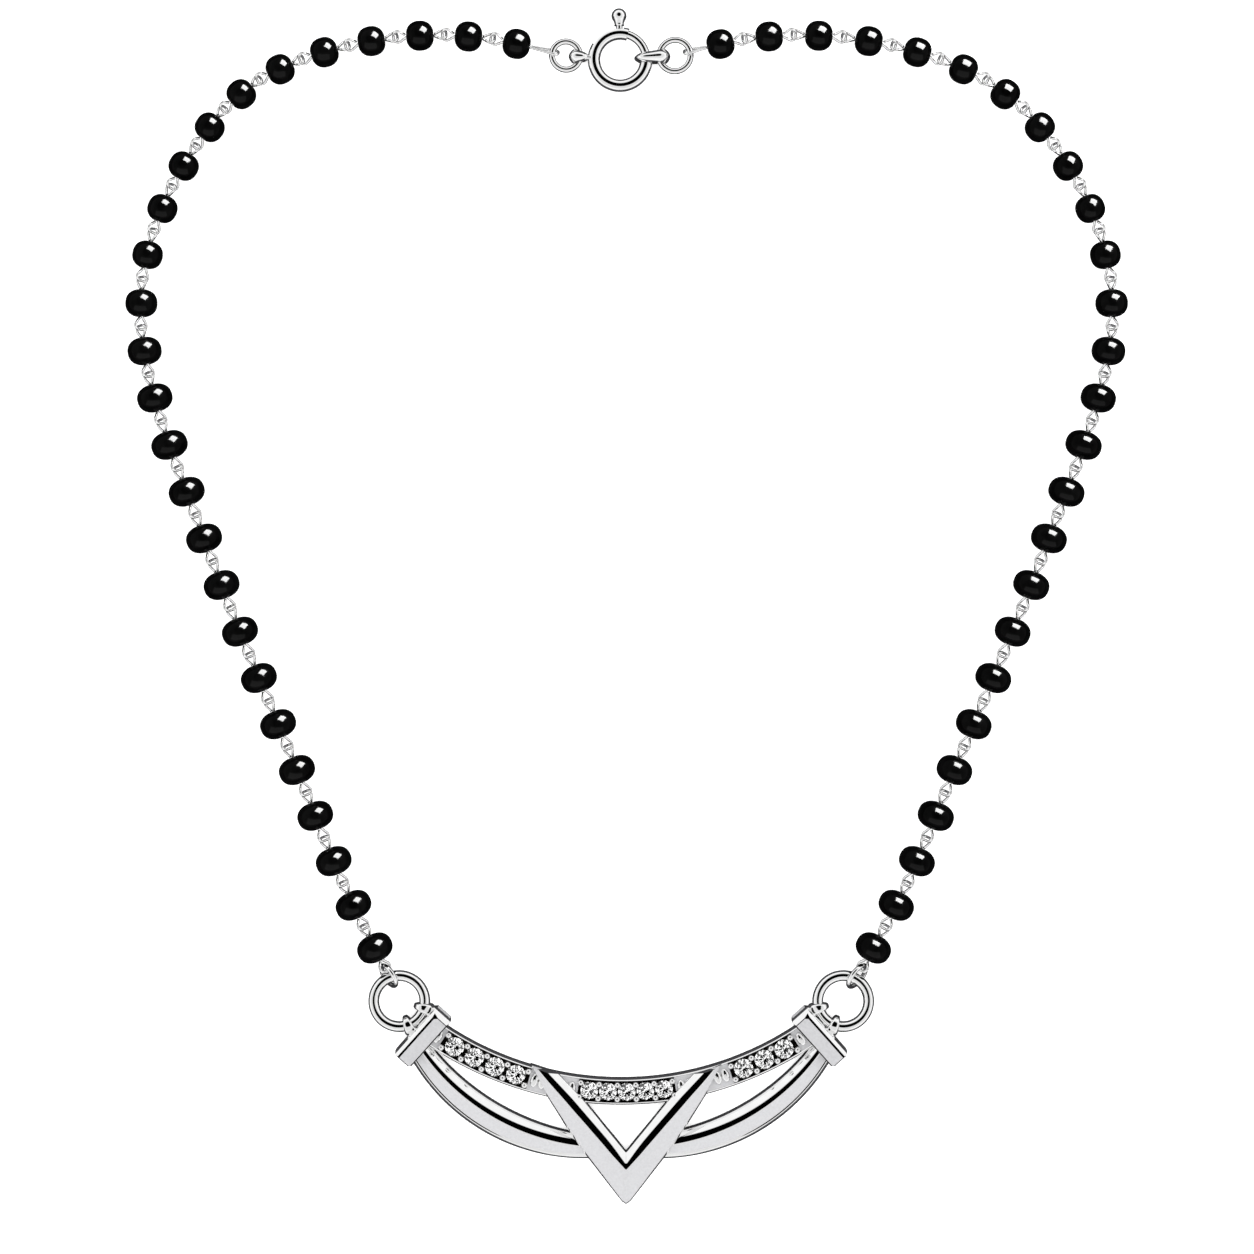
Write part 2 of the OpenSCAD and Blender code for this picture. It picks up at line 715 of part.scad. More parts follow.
// Cut stone: table, star facets, kites, upper and lower girdle facets and a pointed back
stone_table = 0.56;
stone_star = 0.78;
stone_crown = 0.3;
stone_back = 0.84;
stone_lower = 0.25;
stone_girdle = 0.04;
function around(r, z, from, count) = [
    for (i = [0 : count - 1]) [r * cos(from + i * 360 / count), r * sin(from + i * 360 / count), z]
];
module cut_stone(d) {
    r = d / 2;
    half = cos(22.5);
    star_z = stone_girdle + stone_crown * (1 - stone_star * half) / (1 - stone_table);
    lower_z = -stone_girdle - stone_back * (1 - stone_lower * half);
    points = concat(
        around(r * stone_table, r * (stone_girdle + stone_crown), 22.5, 8),
        around(r * stone_star, r * star_z, 0, 8),
        around(r, r * stone_girdle, 0, 16),
        around(r, -r * stone_girdle, 0, 16),
        around(r * stone_lower, r * lower_z, 0, 8),
        [[0, 0, -r * (stone_girdle + stone_back)]]
    );
    polyhedron(points = points, faces = [
        [for (i = [7 : -1 : 0]) i],
        for (i = [0 : 7])
            let (
                j = (i + 1) % 8,
                t = i,
                star = 8 + i,
                star_next = 8 + j,
                top = 16 + 2 * i,
                top_kite = 17 + 2 * i,
                top_next = 16 + 2 * j,
                low = 32 + 2 * i,
                low_kite = 33 + 2 * i,
                low_next = 32 + 2 * j,
                back = 48 + i,
                back_next = 48 + j
            )
                each [
                    [t, (i + 1) % 8, star_next],
                    [t, star_next, top_kite, star],
                    [star, top_kite, top],
                    [star_next, top_next, top_kite],
                    [top, top_kite, low_kite, low],
                    [top_kite, top_next, low_next, low_kite],
                    [back, low, low_kite],
                    [back_next, low_kite, low_next],
                    [back, low_kite, back_next, 56]
                ]
    ]);
}

module stone(i) {
    color(clear)
        translate([pendant_at[0], pendant_at[1], girdle_z])
            on_bar(stones[i - 1][0])
                cut_stone(stones[i - 1][1]);
}

clasp_body();
clasp_trigger();
clasp_tag();
jump_ring(-1);  // jump_ring_left
jump_ring(1);  // jump_ring_right
bead_string(-1);  // beads_left
bead_string(1);  // beads_right
pin_row(-1);  // pins_left
pin_row(1);  // pins_right
end_link(-1);  // end_link_left
end_link(1);  // end_link_right
pendant_ring(-1);  // pendant_ring_left
pendant_ring(1);  // pendant_ring_right
pendant_frame();
stone(1);  // stone_01
stone(2);  // stone_02
stone(3);  // stone_03
stone(4);  // stone_04
stone(5);  // stone_05
stone(6);  // stone_06
stone(7);  // stone_07
stone(8);  // stone_08
stone(9);  // stone_09
stone(10);  // stone_10
stone(11);  // stone_11
stone(12);  // stone_12
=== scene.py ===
import json
import math

import bmesh
import bpy
import numpy as np
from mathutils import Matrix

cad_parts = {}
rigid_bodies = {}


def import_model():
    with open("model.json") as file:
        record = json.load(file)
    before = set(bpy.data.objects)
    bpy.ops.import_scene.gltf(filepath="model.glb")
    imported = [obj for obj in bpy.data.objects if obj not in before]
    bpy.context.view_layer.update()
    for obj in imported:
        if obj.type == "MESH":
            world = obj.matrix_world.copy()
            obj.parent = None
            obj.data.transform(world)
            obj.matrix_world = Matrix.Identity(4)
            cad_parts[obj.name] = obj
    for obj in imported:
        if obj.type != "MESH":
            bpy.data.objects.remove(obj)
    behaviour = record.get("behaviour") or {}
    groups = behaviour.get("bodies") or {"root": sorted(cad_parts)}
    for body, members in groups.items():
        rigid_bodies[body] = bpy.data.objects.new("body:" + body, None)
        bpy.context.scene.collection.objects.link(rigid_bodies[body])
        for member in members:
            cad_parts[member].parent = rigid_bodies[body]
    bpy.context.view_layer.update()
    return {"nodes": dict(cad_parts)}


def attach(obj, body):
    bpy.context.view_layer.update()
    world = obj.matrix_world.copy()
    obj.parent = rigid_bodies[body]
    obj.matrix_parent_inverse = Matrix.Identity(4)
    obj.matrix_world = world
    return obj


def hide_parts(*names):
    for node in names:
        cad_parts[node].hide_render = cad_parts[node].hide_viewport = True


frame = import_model()

# Sizes that the CAD source also has, in millimetres and degrees
BEAD_LEN, BEAD_SMALL, BEAD_LARGE, BEAD_BORE = 3.5, 3.75, 4.6, 1.0
BEADS_SIDE, WIDEN_FROM, WIDEN_OVER = 26, 10.5, 4.0
PIN_WIRE, EYE_W, EYE_ROUND, GAP, PLAY = 0.36, 1.7, 0.5, 0.12, 0.18
EYE_ROLL, FIRST_EYE_ROLL, TAIL_LIFT, TAIL_OFF = 45, 65, 0.1, 0.24
CLASP_AT, CLASP_Z, CLASP_R = np.array([-0.8, 68.28]), 1.4, 3.27
TUBE_R, TUBE_WALL, TONGUE_R = 0.775, 0.13, 0.525
MOUTH_FROM, MOUTH_TO, KNOB_ANGLE, KNOB_TRAVEL = 8, 73, 91.5, 50
KNOB_R, KNOB_REACH, NECK_R, TAG_TURN = 0.95, 6.43, 0.4, 4
BAND, TAG_W, TAG_NECK, TAG_REACH, LOOSE_REACH = 0.4, 1.7, 1.0, 6.3, 6.15
JUMP_WIRE, JUMP_R = 0.78, {-1: 1.76, 1: 1.96}
LINK_WIRE, LINK_GAP, LINK_ROLL = 0.62, 0.45, 61
PEND_AT, PEND_WIRE, PEND_R, RING_PLAY = np.array([-0.66, -53.7]), 1.37, 3.19, 0.18
CAP_X, CAP_TURN, CAP_L, CAP_W, CAP_H = 24.75, 48.2, 7.9, 2.8, 3.6
CAP_BEVEL, CAP_END, RING_SEAT, RING_SHIFT = 0.75, 0.9, 3.7, 1.24
KNUCKLE_ANGLE, KNUCKLE_W, KNUCKLE_WALL = 27, 1.2, 0.45
BAR_R, BAR_W, BAR_H, BAR_RIM, BAR_IN = 41.25, 3.3, 2.0, 0.3, 1.0
CRESCENT_IN_R, CRESCENT_OUT_R, LOBE_X = 30.45, 24.8, 4.8
CRESCENT_EDGE, STEEP, GENTLE, TOP_SHARE, FOOT_SHARE = 1.3, 0.8, 0.4, 0.037, 0.438
CHEV_HALF, CHEV_DROP, CHEV_SHIFT = 11.95, 5.55, 0.6
CHEV_BACK, CHEV_EDGE, CHEV_RIDGE, CRESCENT_BREAK = 0.5, 2.5, 3.4, 5.2
BALL_D, BALL_GAP, BALL_STEM, CHANNEL_PAST = 0.8, 1.8, 0.24, 0.62
SLOT_MARGIN, SLOT_GAP, TONGUE_FROM, TONGUE_TAIL = 8.5, 0.15, 2, 12
ROUTE = np.array([
    [1, 12.7, 70.3, -1], [3, 24.9, 71.3, -0.9], [4, 31.1, 70.6, -0.8], [6, 42.7, 67.1, -0.6],
    [7, 47.9, 64.1, -0.4], [8, 51.9, 59.8, -0.2], [11, 59.9, 43.9, 0], [12, 60.8, 37.7, 0],
    [13, 60.2, 31.8, 0], [17, 52.7, 8.4, 0], [22, 41, -20.5, -0.1], [25, 33.9, -37.4, -0.2],
    [26, 31.1, -42.7, -0.3],
])
STONE_GROUPS = [(4, -0.682, 2.8), (5, 0.0265, 2.34), (3, 0.715, 2.8)]
# As in the CAD source, with the inner edge straightened by 0.3 mm
CHEV_ROWS = np.array([
    [1, 1, 0.87, 0.948, 0.7, 0.932], [0.84, 0.785, 0.62, 0.772, 0.46, 0.76],
    [0.61, 0.535, 0.385, 0.595, 0.245, 0.58], [0.407, 0.338, 0.18, 0.43, 0.105, 0.465],
    [0.045, 0.02, 0.004, 0.281, 0.004, 0.378], [0, 0, 0, 0.28, 0, 0.377],
])

# Sizes of the finish, which the CAD source doesn't have
# Facets fall this many mm for each mm in plan. Their widths: round the caps and along the stone
# bar's upper edge, along its lower edge, and round the crescent and the chevron
FACET_FALL, FACET, LOWER_FACET, OUTER_FACET = 2, 0.16, 0.14, 0.24
# How far the bar's rims fall to their facets, and a bed deep enough for the points of the stones
UPPER_RIM_FALL, LOWER_RIM_FALL, BED_DEPTH = 0.14, 0.12, 1.25
# Long beads this far apart, this wide and this many times as long stand on the bar's flat ends
END_STEP, END_WIDE, END_LONG = 1.02, 1.04, 1.75
# Slopes of a cap's leaning side and of the strips inside its leaning side and end and across
# their corner, and how far in from the leaning faces the strips begin
CAP_LEAN, STRIP_LEAN, CORNER_LEAN = 0.84, 0.18, 0.15
SIDE_STRIP, END_STRIP, CORNER_STRIP = 0.22, 0.08, 0.6
CAP_ROUNDING = 0.09
# Height of the lip that runs along the crescent's outer edge from the caps
LIP = 0.105
# The dome of the loose tag is flat where it would come nearer to the table than this
TABLE_GAP = 0.02
BODY = "necklace"
MM = 0.001


# Plain geometry

def unit(v):
    """A direction: the vector divided by its length."""
    return v / np.linalg.norm(v, axis=-1, keepdims=True)


def spot(plan, z):
    """Plan points with a height added."""
    plan = np.atleast_2d(plan)
    return np.column_stack([plan, np.broadcast_to(z, len(plan))])


def turned(v, degrees):
    """Plan points turned about the origin: x cos - y sin, x sin + y cos."""
    a = math.radians(degrees)
    x, y = v[..., 0], v[..., 1]
    moved = [x * math.cos(a) - y * math.sin(a), x * math.sin(a) + y * math.cos(a)]
    return np.stack(moved + [v[..., i] for i in range(2, v.shape[-1])], -1)


def grid_faces(rows, columns, ring_rows=False, ring_columns=True):
    """Quads of a grid of points: each joins two neighbours in a row to the two beside them in
    the next row. A ring joins its last points to its first ones."""
    i, j = np.meshgrid(np.arange(rows if ring_rows else rows - 1),
                       np.arange(columns if ring_columns else columns - 1), indexing="ij")
    below, beside = (i + 1) % rows, (j + 1) % columns
    corners = [i * columns + j, i * columns + beside, below * columns + beside, below * columns + j]
    return np.stack(corners, -1).reshape(-1, 4)


def skin(rings, ring_rows=False):
    """A closed shell from rings of points (rows x columns x 3). Open ends are closed by a row
    where every point is the ring's middle."""
    if not ring_rows:
        ends = [np.broadcast_to(rings[i].mean(0), rings[i].shape)[None] for i in (0, -1)]
        rings = np.concatenate([ends[0], rings, ends[1]])
    return rings.reshape(-1, 3), grid_faces(len(rings), rings.shape[1], ring_rows)


def soften(sections, cuts, steps=4):
    """Rounds the corners of closed sections (rows x corners x 3). Each corner gives way to a
    curve that starts one cut before it and ends one cut after it: (1-t)^2 times the start, plus
    2t(1-t) times the corner, plus t^2 times the end."""
    cuts = np.asarray(cuts, float)[None, :, None]
    start = sections + unit(np.roll(sections, 1, 1) - sections) * cuts
    end = sections + unit(np.roll(sections, -1, 1) - sections) * cuts
    t = np.linspace(0, 1, steps + 1)[None, None, :, None]
    curve = (1 - t) ** 2 * start[:, :, None] + 2 * t * (1 - t) * sections[:, :, None]
    curve = curve + t ** 2 * end[:, :, None]
    return curve.reshape(len(sections), -1, 3)


def tube(path, across, radius, sides=12, ring_rows=False):
    """Round wire: at each point of the path a circle of the wire's radius (one for all points or
    one for each) stands square to it. Its first axis is the given direction with the path's own
    part taken out."""
    if ring_rows:
        heading = unit(np.roll(path, -1, 0) - np.roll(path, 1, 0))
    else:
        heading = unit(np.gradient(path, axis=0))
    first = unit(across - heading * (across * heading).sum(-1, keepdims=True))
    second = np.cross(heading, first)
    a = np.linspace(0, 2 * np.pi, sides, endpoint=False)[None, :, None]
    wide = np.reshape(radius, (-1, 1, 1))
    rings = path[:, None] + wide * (np.cos(a) * first[:, None] + np.sin(a) * second[:, None])
    return skin(rings, ring_rows)


def lathe(profile, at, axis, sides):
    """A closed profile of (distance from the axis, place along it) turned round an axis."""
    axis = unit(np.asarray(axis, float))
    other = np.array([0.0, 0, 1]) if abs(axis[2]) < 0.9 else np.array([1.0, 0, 0])
    first = unit(np.cross(axis, other))
    second = np.cross(axis, first)
    a = np.linspace(0, 2 * np.pi, sides, endpoint=False)[:, None, None]
    out = np.cos(a) * first + np.sin(a) * second
    rings = np.asarray(at) + profile[None, :, :1] * out + profile[None, :, 1:] * axis
    return rings.reshape(-1, 3), grid_faces(sides, len(profile), True, True)


def strip_faces(faces, rings, corner, steps):
    """Which faces of a skin lie between one softened corner of its sections and the next."""
    return np.arange(len(faces)) % rings.shape[1] == (corner + 1) * (steps + 1) - 1


def ring(middle, radius, wire, first, second, sides=16, steps=72):
    """Wire bent to a circle: middle + radius times (cos a first + sin a second)."""
    a = np.linspace(0, 2 * np.pi, steps, endpoint=False)[:, None]
    path = middle + radius * (np.cos(a) * first + np.sin(a) * second)
    return tube(path, np.cross(first, second), wire / 2, sides, True)


def arc(start, end, step):
    """Angles in radians from one to the other, both in degrees, about a step apart."""
    return np.radians(np.linspace(start, end, max(2, round(abs(end - start) / step) + 1)))


# Materials

def linear(code):
    """An sRGB hex colour as linear light: a straight line up to 0.04045, then a power of 2.4."""
    c = np.array([int(code[i:i + 2], 16) for i in (0, 2, 4)]) / 255
    c = np.where(c <= 0.04045, c / 12.92, ((c + 0.055) / 1.055) ** 2.4)
    return (*(float(v) for v in c), 1.0)


def add_node(tree, kind, inputs=None, **settings):
    """One node, with its settings and its inputs: a value, or a socket that it is linked to."""
    new = tree.nodes.new(kind)
    for name, value in settings.items():
        setattr(new, name, value)
    for name, value in (inputs or {}).items():
        if isinstance(value, bpy.types.NodeSocket):
            tree.links.new(value, new.inputs[name])
        else:
            new.inputs[name].default_value = value
    return new


def two_tone(tree, fac, low, high, start=0.3, end=0.7):
    """A colour between two hex colours, by a number from 0 to 1."""
    ramp = add_node(tree, "ShaderNodeValToRGB", {"Fac": fac})
    for element, place, code in zip(ramp.color_ramp.elements, (start, end), (low, high)):
        element.position = place
        element.color = linear(code)
    return ramp.outputs["Color"]


def material(name, **surface):
    """A material with one Principled shader, and what its patterns are built from."""
    made = bpy.data.materials.new(name)
    made.use_nodes = True
    tree = made.node_tree
    shader = tree.nodes["Principled BSDF"]
    for socket, value in surface.items():
        shader.inputs[socket.replace("_", " ")].default_value = value
    place = add_node(tree, "ShaderNodeTexCoord").outputs["Object"]
    return made, tree, shader, place


def speckle(tree, place, size_mm, detail=2.0, rough=0.5):
    """Noise whose lumps are about the given number of millimetres wide."""
    inputs = {"Vector": place, "Scale": 1 / (size_mm * MM), "Detail": detail, "Roughness": rough}
    return add_node(tree, "ShaderNodeTexNoise", inputs).outputs["Fac"]


def between(tree, value, low, high):
    """A number from 0.3 to 0.7 spread over a new range."""
    inputs = {"Value": value, "From Min": 0.3, "From Max": 0.7, "To Min": low, "To Max": high}
    return add_node(tree, "ShaderNodeMapRange", inputs).outputs["Result"]


def polished_silver():
    """Sterling silver, cast and mirror polished: white metal whose gloss is broken a little by
    hairline polishing marks (drawn 0.12 mm apart, coarse enough to show) and soft hand polish."""
    made, tree, shader, place = material("sterling_silver_polished", Metallic=1.0)
    haze = speckle(tree, place, 1.6)
    hairline = speckle(tree, place, 0.12, 4.0)
    tree.links.new(two_tone(tree, haze, "F3F3F3", "FAFAFA"), shader.inputs["Base Color"])
    tree.links.new(between(tree, haze, 0.04, 0.08), shader.inputs["Roughness"])
    inputs = {"Height": hairline, "Strength": 0.03, "Distance": 0.02 * MM}
    marks = add_node(tree, "ShaderNodeBump", inputs)
    tree.links.new(marks.outputs["Normal"], shader.inputs["Normal"])
    return made


def satin_silver():
    """Sterling silver with its broad faces left satin by a fine blast, so that they scatter light
    and look pale grey beside the bright edges; the grain is drawn 0.25 mm wide to show."""
    made, tree, shader, place = material("sterling_silver_satin", Metallic=0.3)
    grain = speckle(tree, place, 0.25, 3.0)
    tree.links.new(two_tone(tree, grain, "B6B6B8", "C0C0C2"), shader.inputs["Base Color"])
    tree.links.new(between(tree, grain, 0.40, 0.50), shader.inputs["Roughness"])
    return made


def drawn_silver():
    """Sterling silver wire as it leaves the draw plate: bright, with a gloss softened by fine
    lines along it that are drawn as haze 0.3 mm wide."""
    made, tree, shader, place = material("sterling_silver_drawn", Metallic=0.9)
    haze = speckle(tree, place, 0.3)
    tree.links.new(two_tone(tree, haze, "F5F5F5", "FCFCFC"), shader.inputs["Base Color"])
    tree.links.new(between(tree, haze, 0.12, 0.16), shader.inputs["Roughness"])
    return made


def painted_shade_silver():
    """Silver painted near black as shade, for the deep bed of the stones and the cap facets beside
    the bar, where shade falls; its tone varies at random.
    """
    made, tree, shader, place = material("sterling_silver_darkened", Metallic=1.0)
    shade_mottle = speckle(tree, place, 0.4)
    tree.links.new(two_tone(tree, shade_mottle, "141312", "35322F"), shader.inputs["Base Color"])
    tree.links.new(between(tree, shade_mottle, 0.35, 0.6), shader.inputs["Roughness"])
    return made


def black_onyx():
    """Black onyx, cut and polished: near black glassy stone. Faint banding 1.5 mm wide and a
    gloss that varies a little keep each bead from looking like plastic."""
    made, tree, shader, place = material("black_onyx_polished", IOR=1.54, Specular_IOR_Level=0.02)
    band = speckle(tree, place, 1.5, 3.0)
    tree.links.new(two_tone(tree, band, "020202", "060606"), shader.inputs["Base Color"])
    tree.links.new(between(tree, band, 0.08, 0.13), shader.inputs["Roughness"])
    return made


def cubic_zirconia():
    """Cubic zirconia, cut and polished: water clear, with the high IOR that makes each facet
    flash either white or dark."""
    made, tree, shader, place = material(
        "cubic_zirconia", IOR=2.15, Roughness=0.0, Transmission_Weight=1.0)
    shader.inputs["Base Color"].default_value = linear("FFFFFF")
    return made


SILVER, SATIN = polished_silver(), satin_silver()
# The last silver is painted shade: near black for the bed of the stones and the cap facets beside
# the bar
WIRE, SHADE_PAINT = drawn_silver(), painted_shade_silver()
ONYX, ZIRCONIA = black_onyx(), cubic_zirconia()


# Pieces

def piece(name, shells, materials, replaces, body=BODY, sharp=32):
    """Joins closed shells of (points in mm, faces, material number) into one object. Each shell
    whose volume comes out negative is turned round, so that its faces point outwards."""
    points, faces, numbers, base = [], [], [], 0
    for shell in shells:
        p, f = shell[0], shell[1]
        corner = p[f]
        volume = (np.cross(corner[:, 0] - p[0], corner[:, 1] - p[0]) * (corner[:, 2] - p[0])).sum()
        volume += (np.cross(corner[:, 0] - p[0], corner[:, 2] - p[0]) * (corner[:, 3] - p[0])).sum()
        f = f if volume > 0 else f[:, ::-1]
        points.append(p)
        faces.append(f + base)
        numbers.append(np.broadcast_to(shell[2] if len(shell) > 2 else 0, len(f)))
        base += len(p)
    mesh = bpy.data.meshes.new(name)
    mesh.from_pydata(np.concatenate(points) * MM, [], np.concatenate(faces))
    for each in materials:
        mesh.materials.append(each)
    mesh.polygons.foreach_set("material_index", np.concatenate(numbers).astype(np.int32))
    return finish_piece(mesh, replaces, body, sharp)


def finish_piece(mesh, replaces, body, sharp):
    """Merges doubles, shades smooth up to an angle, and gives the object its place in the frame."""
    work = bmesh.new()
    work.from_mesh(mesh)
    bmesh.ops.remove_doubles(work, verts=work.verts, dist=1e-7)
    bmesh.ops.dissolve_degenerate(work, edges=work.edges, dist=1e-8)
    work.to_mesh(mesh)
    work.free()
    mesh.shade_smooth()
    mesh.set_sharp_from_angle(angle=math.radians(sharp))
    made = bpy.data.objects.new(mesh.name, mesh)
    bpy.context.scene.collection.objects.link(made)
    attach(made, body)
    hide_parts(replaces)
    return made


# Chain: the middles of the beads and the joints between them

def route_at(t):
    """Cubic curve through the rows of ROUTE, by bead number. Each row's slope is the mean of the
    slopes beside it, weighted by the opposite step."""
    step = np.diff(ROUTE[:, 0])
    rise = np.diff(ROUTE, axis=0) / step[:, None]
    slope = np.empty_like(ROUTE)
    share = (step[1:] / (step[1:] + step[:-1]))[:, None]
    slope[1:-1] = rise[:-1] * share + rise[1:] * (1 - share)
    slope[0] = rise[0] + (rise[0] - rise[1]) * step[0] / (step[0] + step[1])
    slope[-1] = rise[-1] + (rise[-1] - rise[-2]) * step[-1] / (step[-1] + step[-2])
    t = np.atleast_1d(np.asarray(t, float))
    i = np.clip(np.searchsorted(ROUTE[:, 0], t, side="right") - 1, 0, len(step) - 1)
    u, d = ((t - ROUTE[i, 0]) / step[i])[:, None], step[i][:, None]
    return ((2 * u ** 3 - 3 * u ** 2 + 1) * ROUTE[i] + (u ** 3 - 2 * u ** 2 + u) * d * slope[i]
            + (3 * u ** 2 - 2 * u ** 3) * ROUTE[i + 1] + (u ** 3 - u ** 2) * d * slope[i + 1])


def plan_at(side, t):
    """Place on the chain in plan, with side -1 for the left and 1 for the right."""
    r = route_at(t)
    return np.column_stack([r[:, 3] + side * r[:, 1], r[:, 2]])


def jump_place(side):
    """Middle of a jump ring and its direction away from the clasp: it leans from its tag up to
    the first bead."""
    reach = TAG_REACH if side < 0 else LOOSE_REACH
    hole = JUMP_R[side] - JUMP_WIRE / 2
    bow = hole - math.sqrt(hole ** 2 - (TAG_W / 2) ** 2)
    turn = math.radians(TAG_TURN)
    plan = np.array([side * math.cos(turn), math.sin(turn)])
    hold = CLASP_AT + (reach - BAND - PLAY - JUMP_WIRE / 2 - bow) * plan
    rise = (BEAD_SMALL / 2 - CLASP_Z) / 2
    flat = math.sqrt(JUMP_R[side] ** 2 - rise ** 2)
    way = np.array([*(plan * flat), rise])
    return np.array([*hold, CLASP_Z]) + way, unit(way)


BEAD_WIDTH = BEAD_SMALL + (BEAD_LARGE - BEAD_SMALL) * np.clip(
    (np.arange(1, BEADS_SIDE + 1) - WIDEN_FROM) / WIDEN_OVER, 0, 1)
LINK_OFF = BEAD_LEN / 2 + LINK_GAP + LINK_WIRE / 2


def chain(side):
    """Joints 0 to 26 and the middles of beads 1 to 26: a joint lies half way between two beads,
    at the height of the wider one, and the end beads lie where their rings leave them."""
    middle, _ = jump_place(side)
    toward = unit(plan_at(side, 1)[0] - middle[:2])
    start = spot(middle[:2] + JUMP_R[side] * toward, BEAD_SMALL / 2)
    half = spot(plan_at(side, np.arange(1, BEADS_SIDE) + 0.5),
                np.maximum(BEAD_WIDTH[:-1], BEAD_WIDTH[1:]) / 2)
    last = plan_at(side, BEADS_SIDE)
    end = spot(last + LINK_OFF * unit(last - plan_at(side, BEADS_SIDE - 0.5)), BEAD_LARGE / 2)
    joints = np.vstack([start, half, end])
    beads = (joints[:-1] + joints[1:]) / 2
    first = np.linalg.norm(plan_at(side, 1) - plan_at(side, 1.5))
    beads[0] = joints[1] + first * unit(joints[0] - joints[1])
    beads[-1] = joints[-1] - LINK_OFF * unit(joints[-1] - joints[-2])
    return joints, beads


def bead_profile(width):
    """Outline of a bead: (x / half length)^2.3 + (r / half width)^2.3 = 1, with a rounded lip
    that turns into the hole."""
    half, power, lip = BEAD_LEN / 2, 2 / 2.3, 0.14
    edge = math.acos(((BEAD_BORE / 2 + lip) / (width / 2)) ** (1 / power))
    t = np.linspace(-edge, edge, 33)
    outer = np.column_stack([width / 2 * np.cos(t) ** power,
                             half * np.sign(np.sin(t)) * np.abs(np.sin(t)) ** power])
    a = np.linspace(0, np.pi / 2, 4)[1:]
    top = outer[-1, 1]
    bend = np.column_stack([BEAD_BORE / 2 + lip - lip * np.sin(a), top - lip * (1 - np.cos(a))])
    return np.vstack([outer, bend, bend[::-1] * [1, -1]])


def bead_string(side):
    """The beads of one side; hand cutting leaves each one up to 2 percent slimmer."""
    joints, beads = chain(side)
    slim = 1 - 0.02 * np.random.default_rng(26 + side).random(BEADS_SIDE)
    shells = [lathe(bead_profile(BEAD_WIDTH[k] * slim[k]), beads[k], joints[k + 1] - joints[k], 48)
              for k in range(BEADS_SIDE)]
    name = "beads_left" if side < 0 else "beads_right"
    return piece("onyx_" + name, shells, [ONYX], name, sharp=60)


def eye_path(reach):
    """Eye of a pin in its own plane: from the cut tail, out and round two corners, and back to
    the stem. Each corner is an arc that the straight wires touch."""
    corner = np.array([reach - EYE_ROUND, EYE_W / 2 - EYE_ROUND])
    stem_off = PIN_WIRE / 2
    legs = []
    for sign, inset, low in ((-1, TAIL_OFF, TAIL_LIFT), (1, stem_off, 0)):
        leg = corner - [low, inset]
        lean = math.degrees(math.atan2(leg[1], leg[0]) + math.asin(EYE_ROUND / np.linalg.norm(leg)))
        a = arc(0, sign * (90 + lean), 12)
        bend = corner * [1, sign] + EYE_ROUND * np.column_stack([np.cos(a), np.sin(a)])
        share = np.linspace(0, 1, 5)[1:, None]
        legs.append(np.vstack([bend, bend[-1] + share * ([low, sign * inset] - bend[-1])]))
    return np.vstack([legs[0][::-1], legs[1]])


def pin_row(side):
    """Wire pins: a straight stem through each bead with an eye bent at each end."""
    joints, beads = chain(side)
    shells = []
    for k in range(1, BEADS_SIDE + 1):
        here, there, middle = joints[k - 1], joints[k], beads[k - 1]
        way = unit(there - here)
        flat = unit(np.array([-way[1], way[0], 0]))
        up = np.cross(way, flat)
        past = [(PIN_WIRE + GAP) / 2] * 2
        if k == 1:
            past[0] = (JUMP_WIRE + PIN_WIRE) / 2 + PLAY
        if k == BEADS_SIDE:
            past[1] = (LINK_WIRE + PIN_WIRE) / 2 + PLAY
        first = FIRST_EYE_ROLL if k == 1 else EYE_ROLL
        rolls = (first if side < 0 else 180 - first, -EYE_ROLL if side < 0 else 180 + EYE_ROLL)
        paths, across = [], []
        for end, sign in ((0, -1), (1, 1)):
            roll = math.radians(rolls[end])
            v = flat * math.cos(roll) + up * math.sin(roll)
            far = here if end == 0 else there
            reach = np.linalg.norm(far - middle) - BEAD_LEN / 2 + past[end]
            eye = eye_path(reach)
            points = middle + sign * way * (BEAD_LEN / 2 + eye[:, :1]) + v * eye[:, 1:]
            paths.append(points[::sign * -1] if end else points)
            across.append(np.tile(np.cross(way, v), (len(points), 1)))
        share = np.linspace(0, 1, 8)[1:-1, None]
        stem = paths[0][-1] + share * (paths[1][0] - paths[0][-1])
        twist = unit(across[0][-1] * (1 - share) + across[1][0] * share)
        path = np.vstack([paths[0], stem, paths[1]])
        shells.append(tube(path, np.vstack([across[0], twist, across[1]]), PIN_WIRE / 2, 10))
    name = "pins_left" if side < 0 else "pins_right"
    return piece("wire_" + name, shells, [WIRE], name, sharp=60)


def jump_ring(side):
    """Small ring that joins a tag of the clasp to the eye of the first pin."""
    middle, way = jump_place(side)
    level = unit(np.array([-way[1], way[0], 0]))
    name = "jump_ring_left" if side < 0 else "jump_ring_right"
    shell = ring(middle, JUMP_R[side], JUMP_WIRE, way, level)
    return piece("wire_" + name, [shell], [SILVER], name)


# Clasp

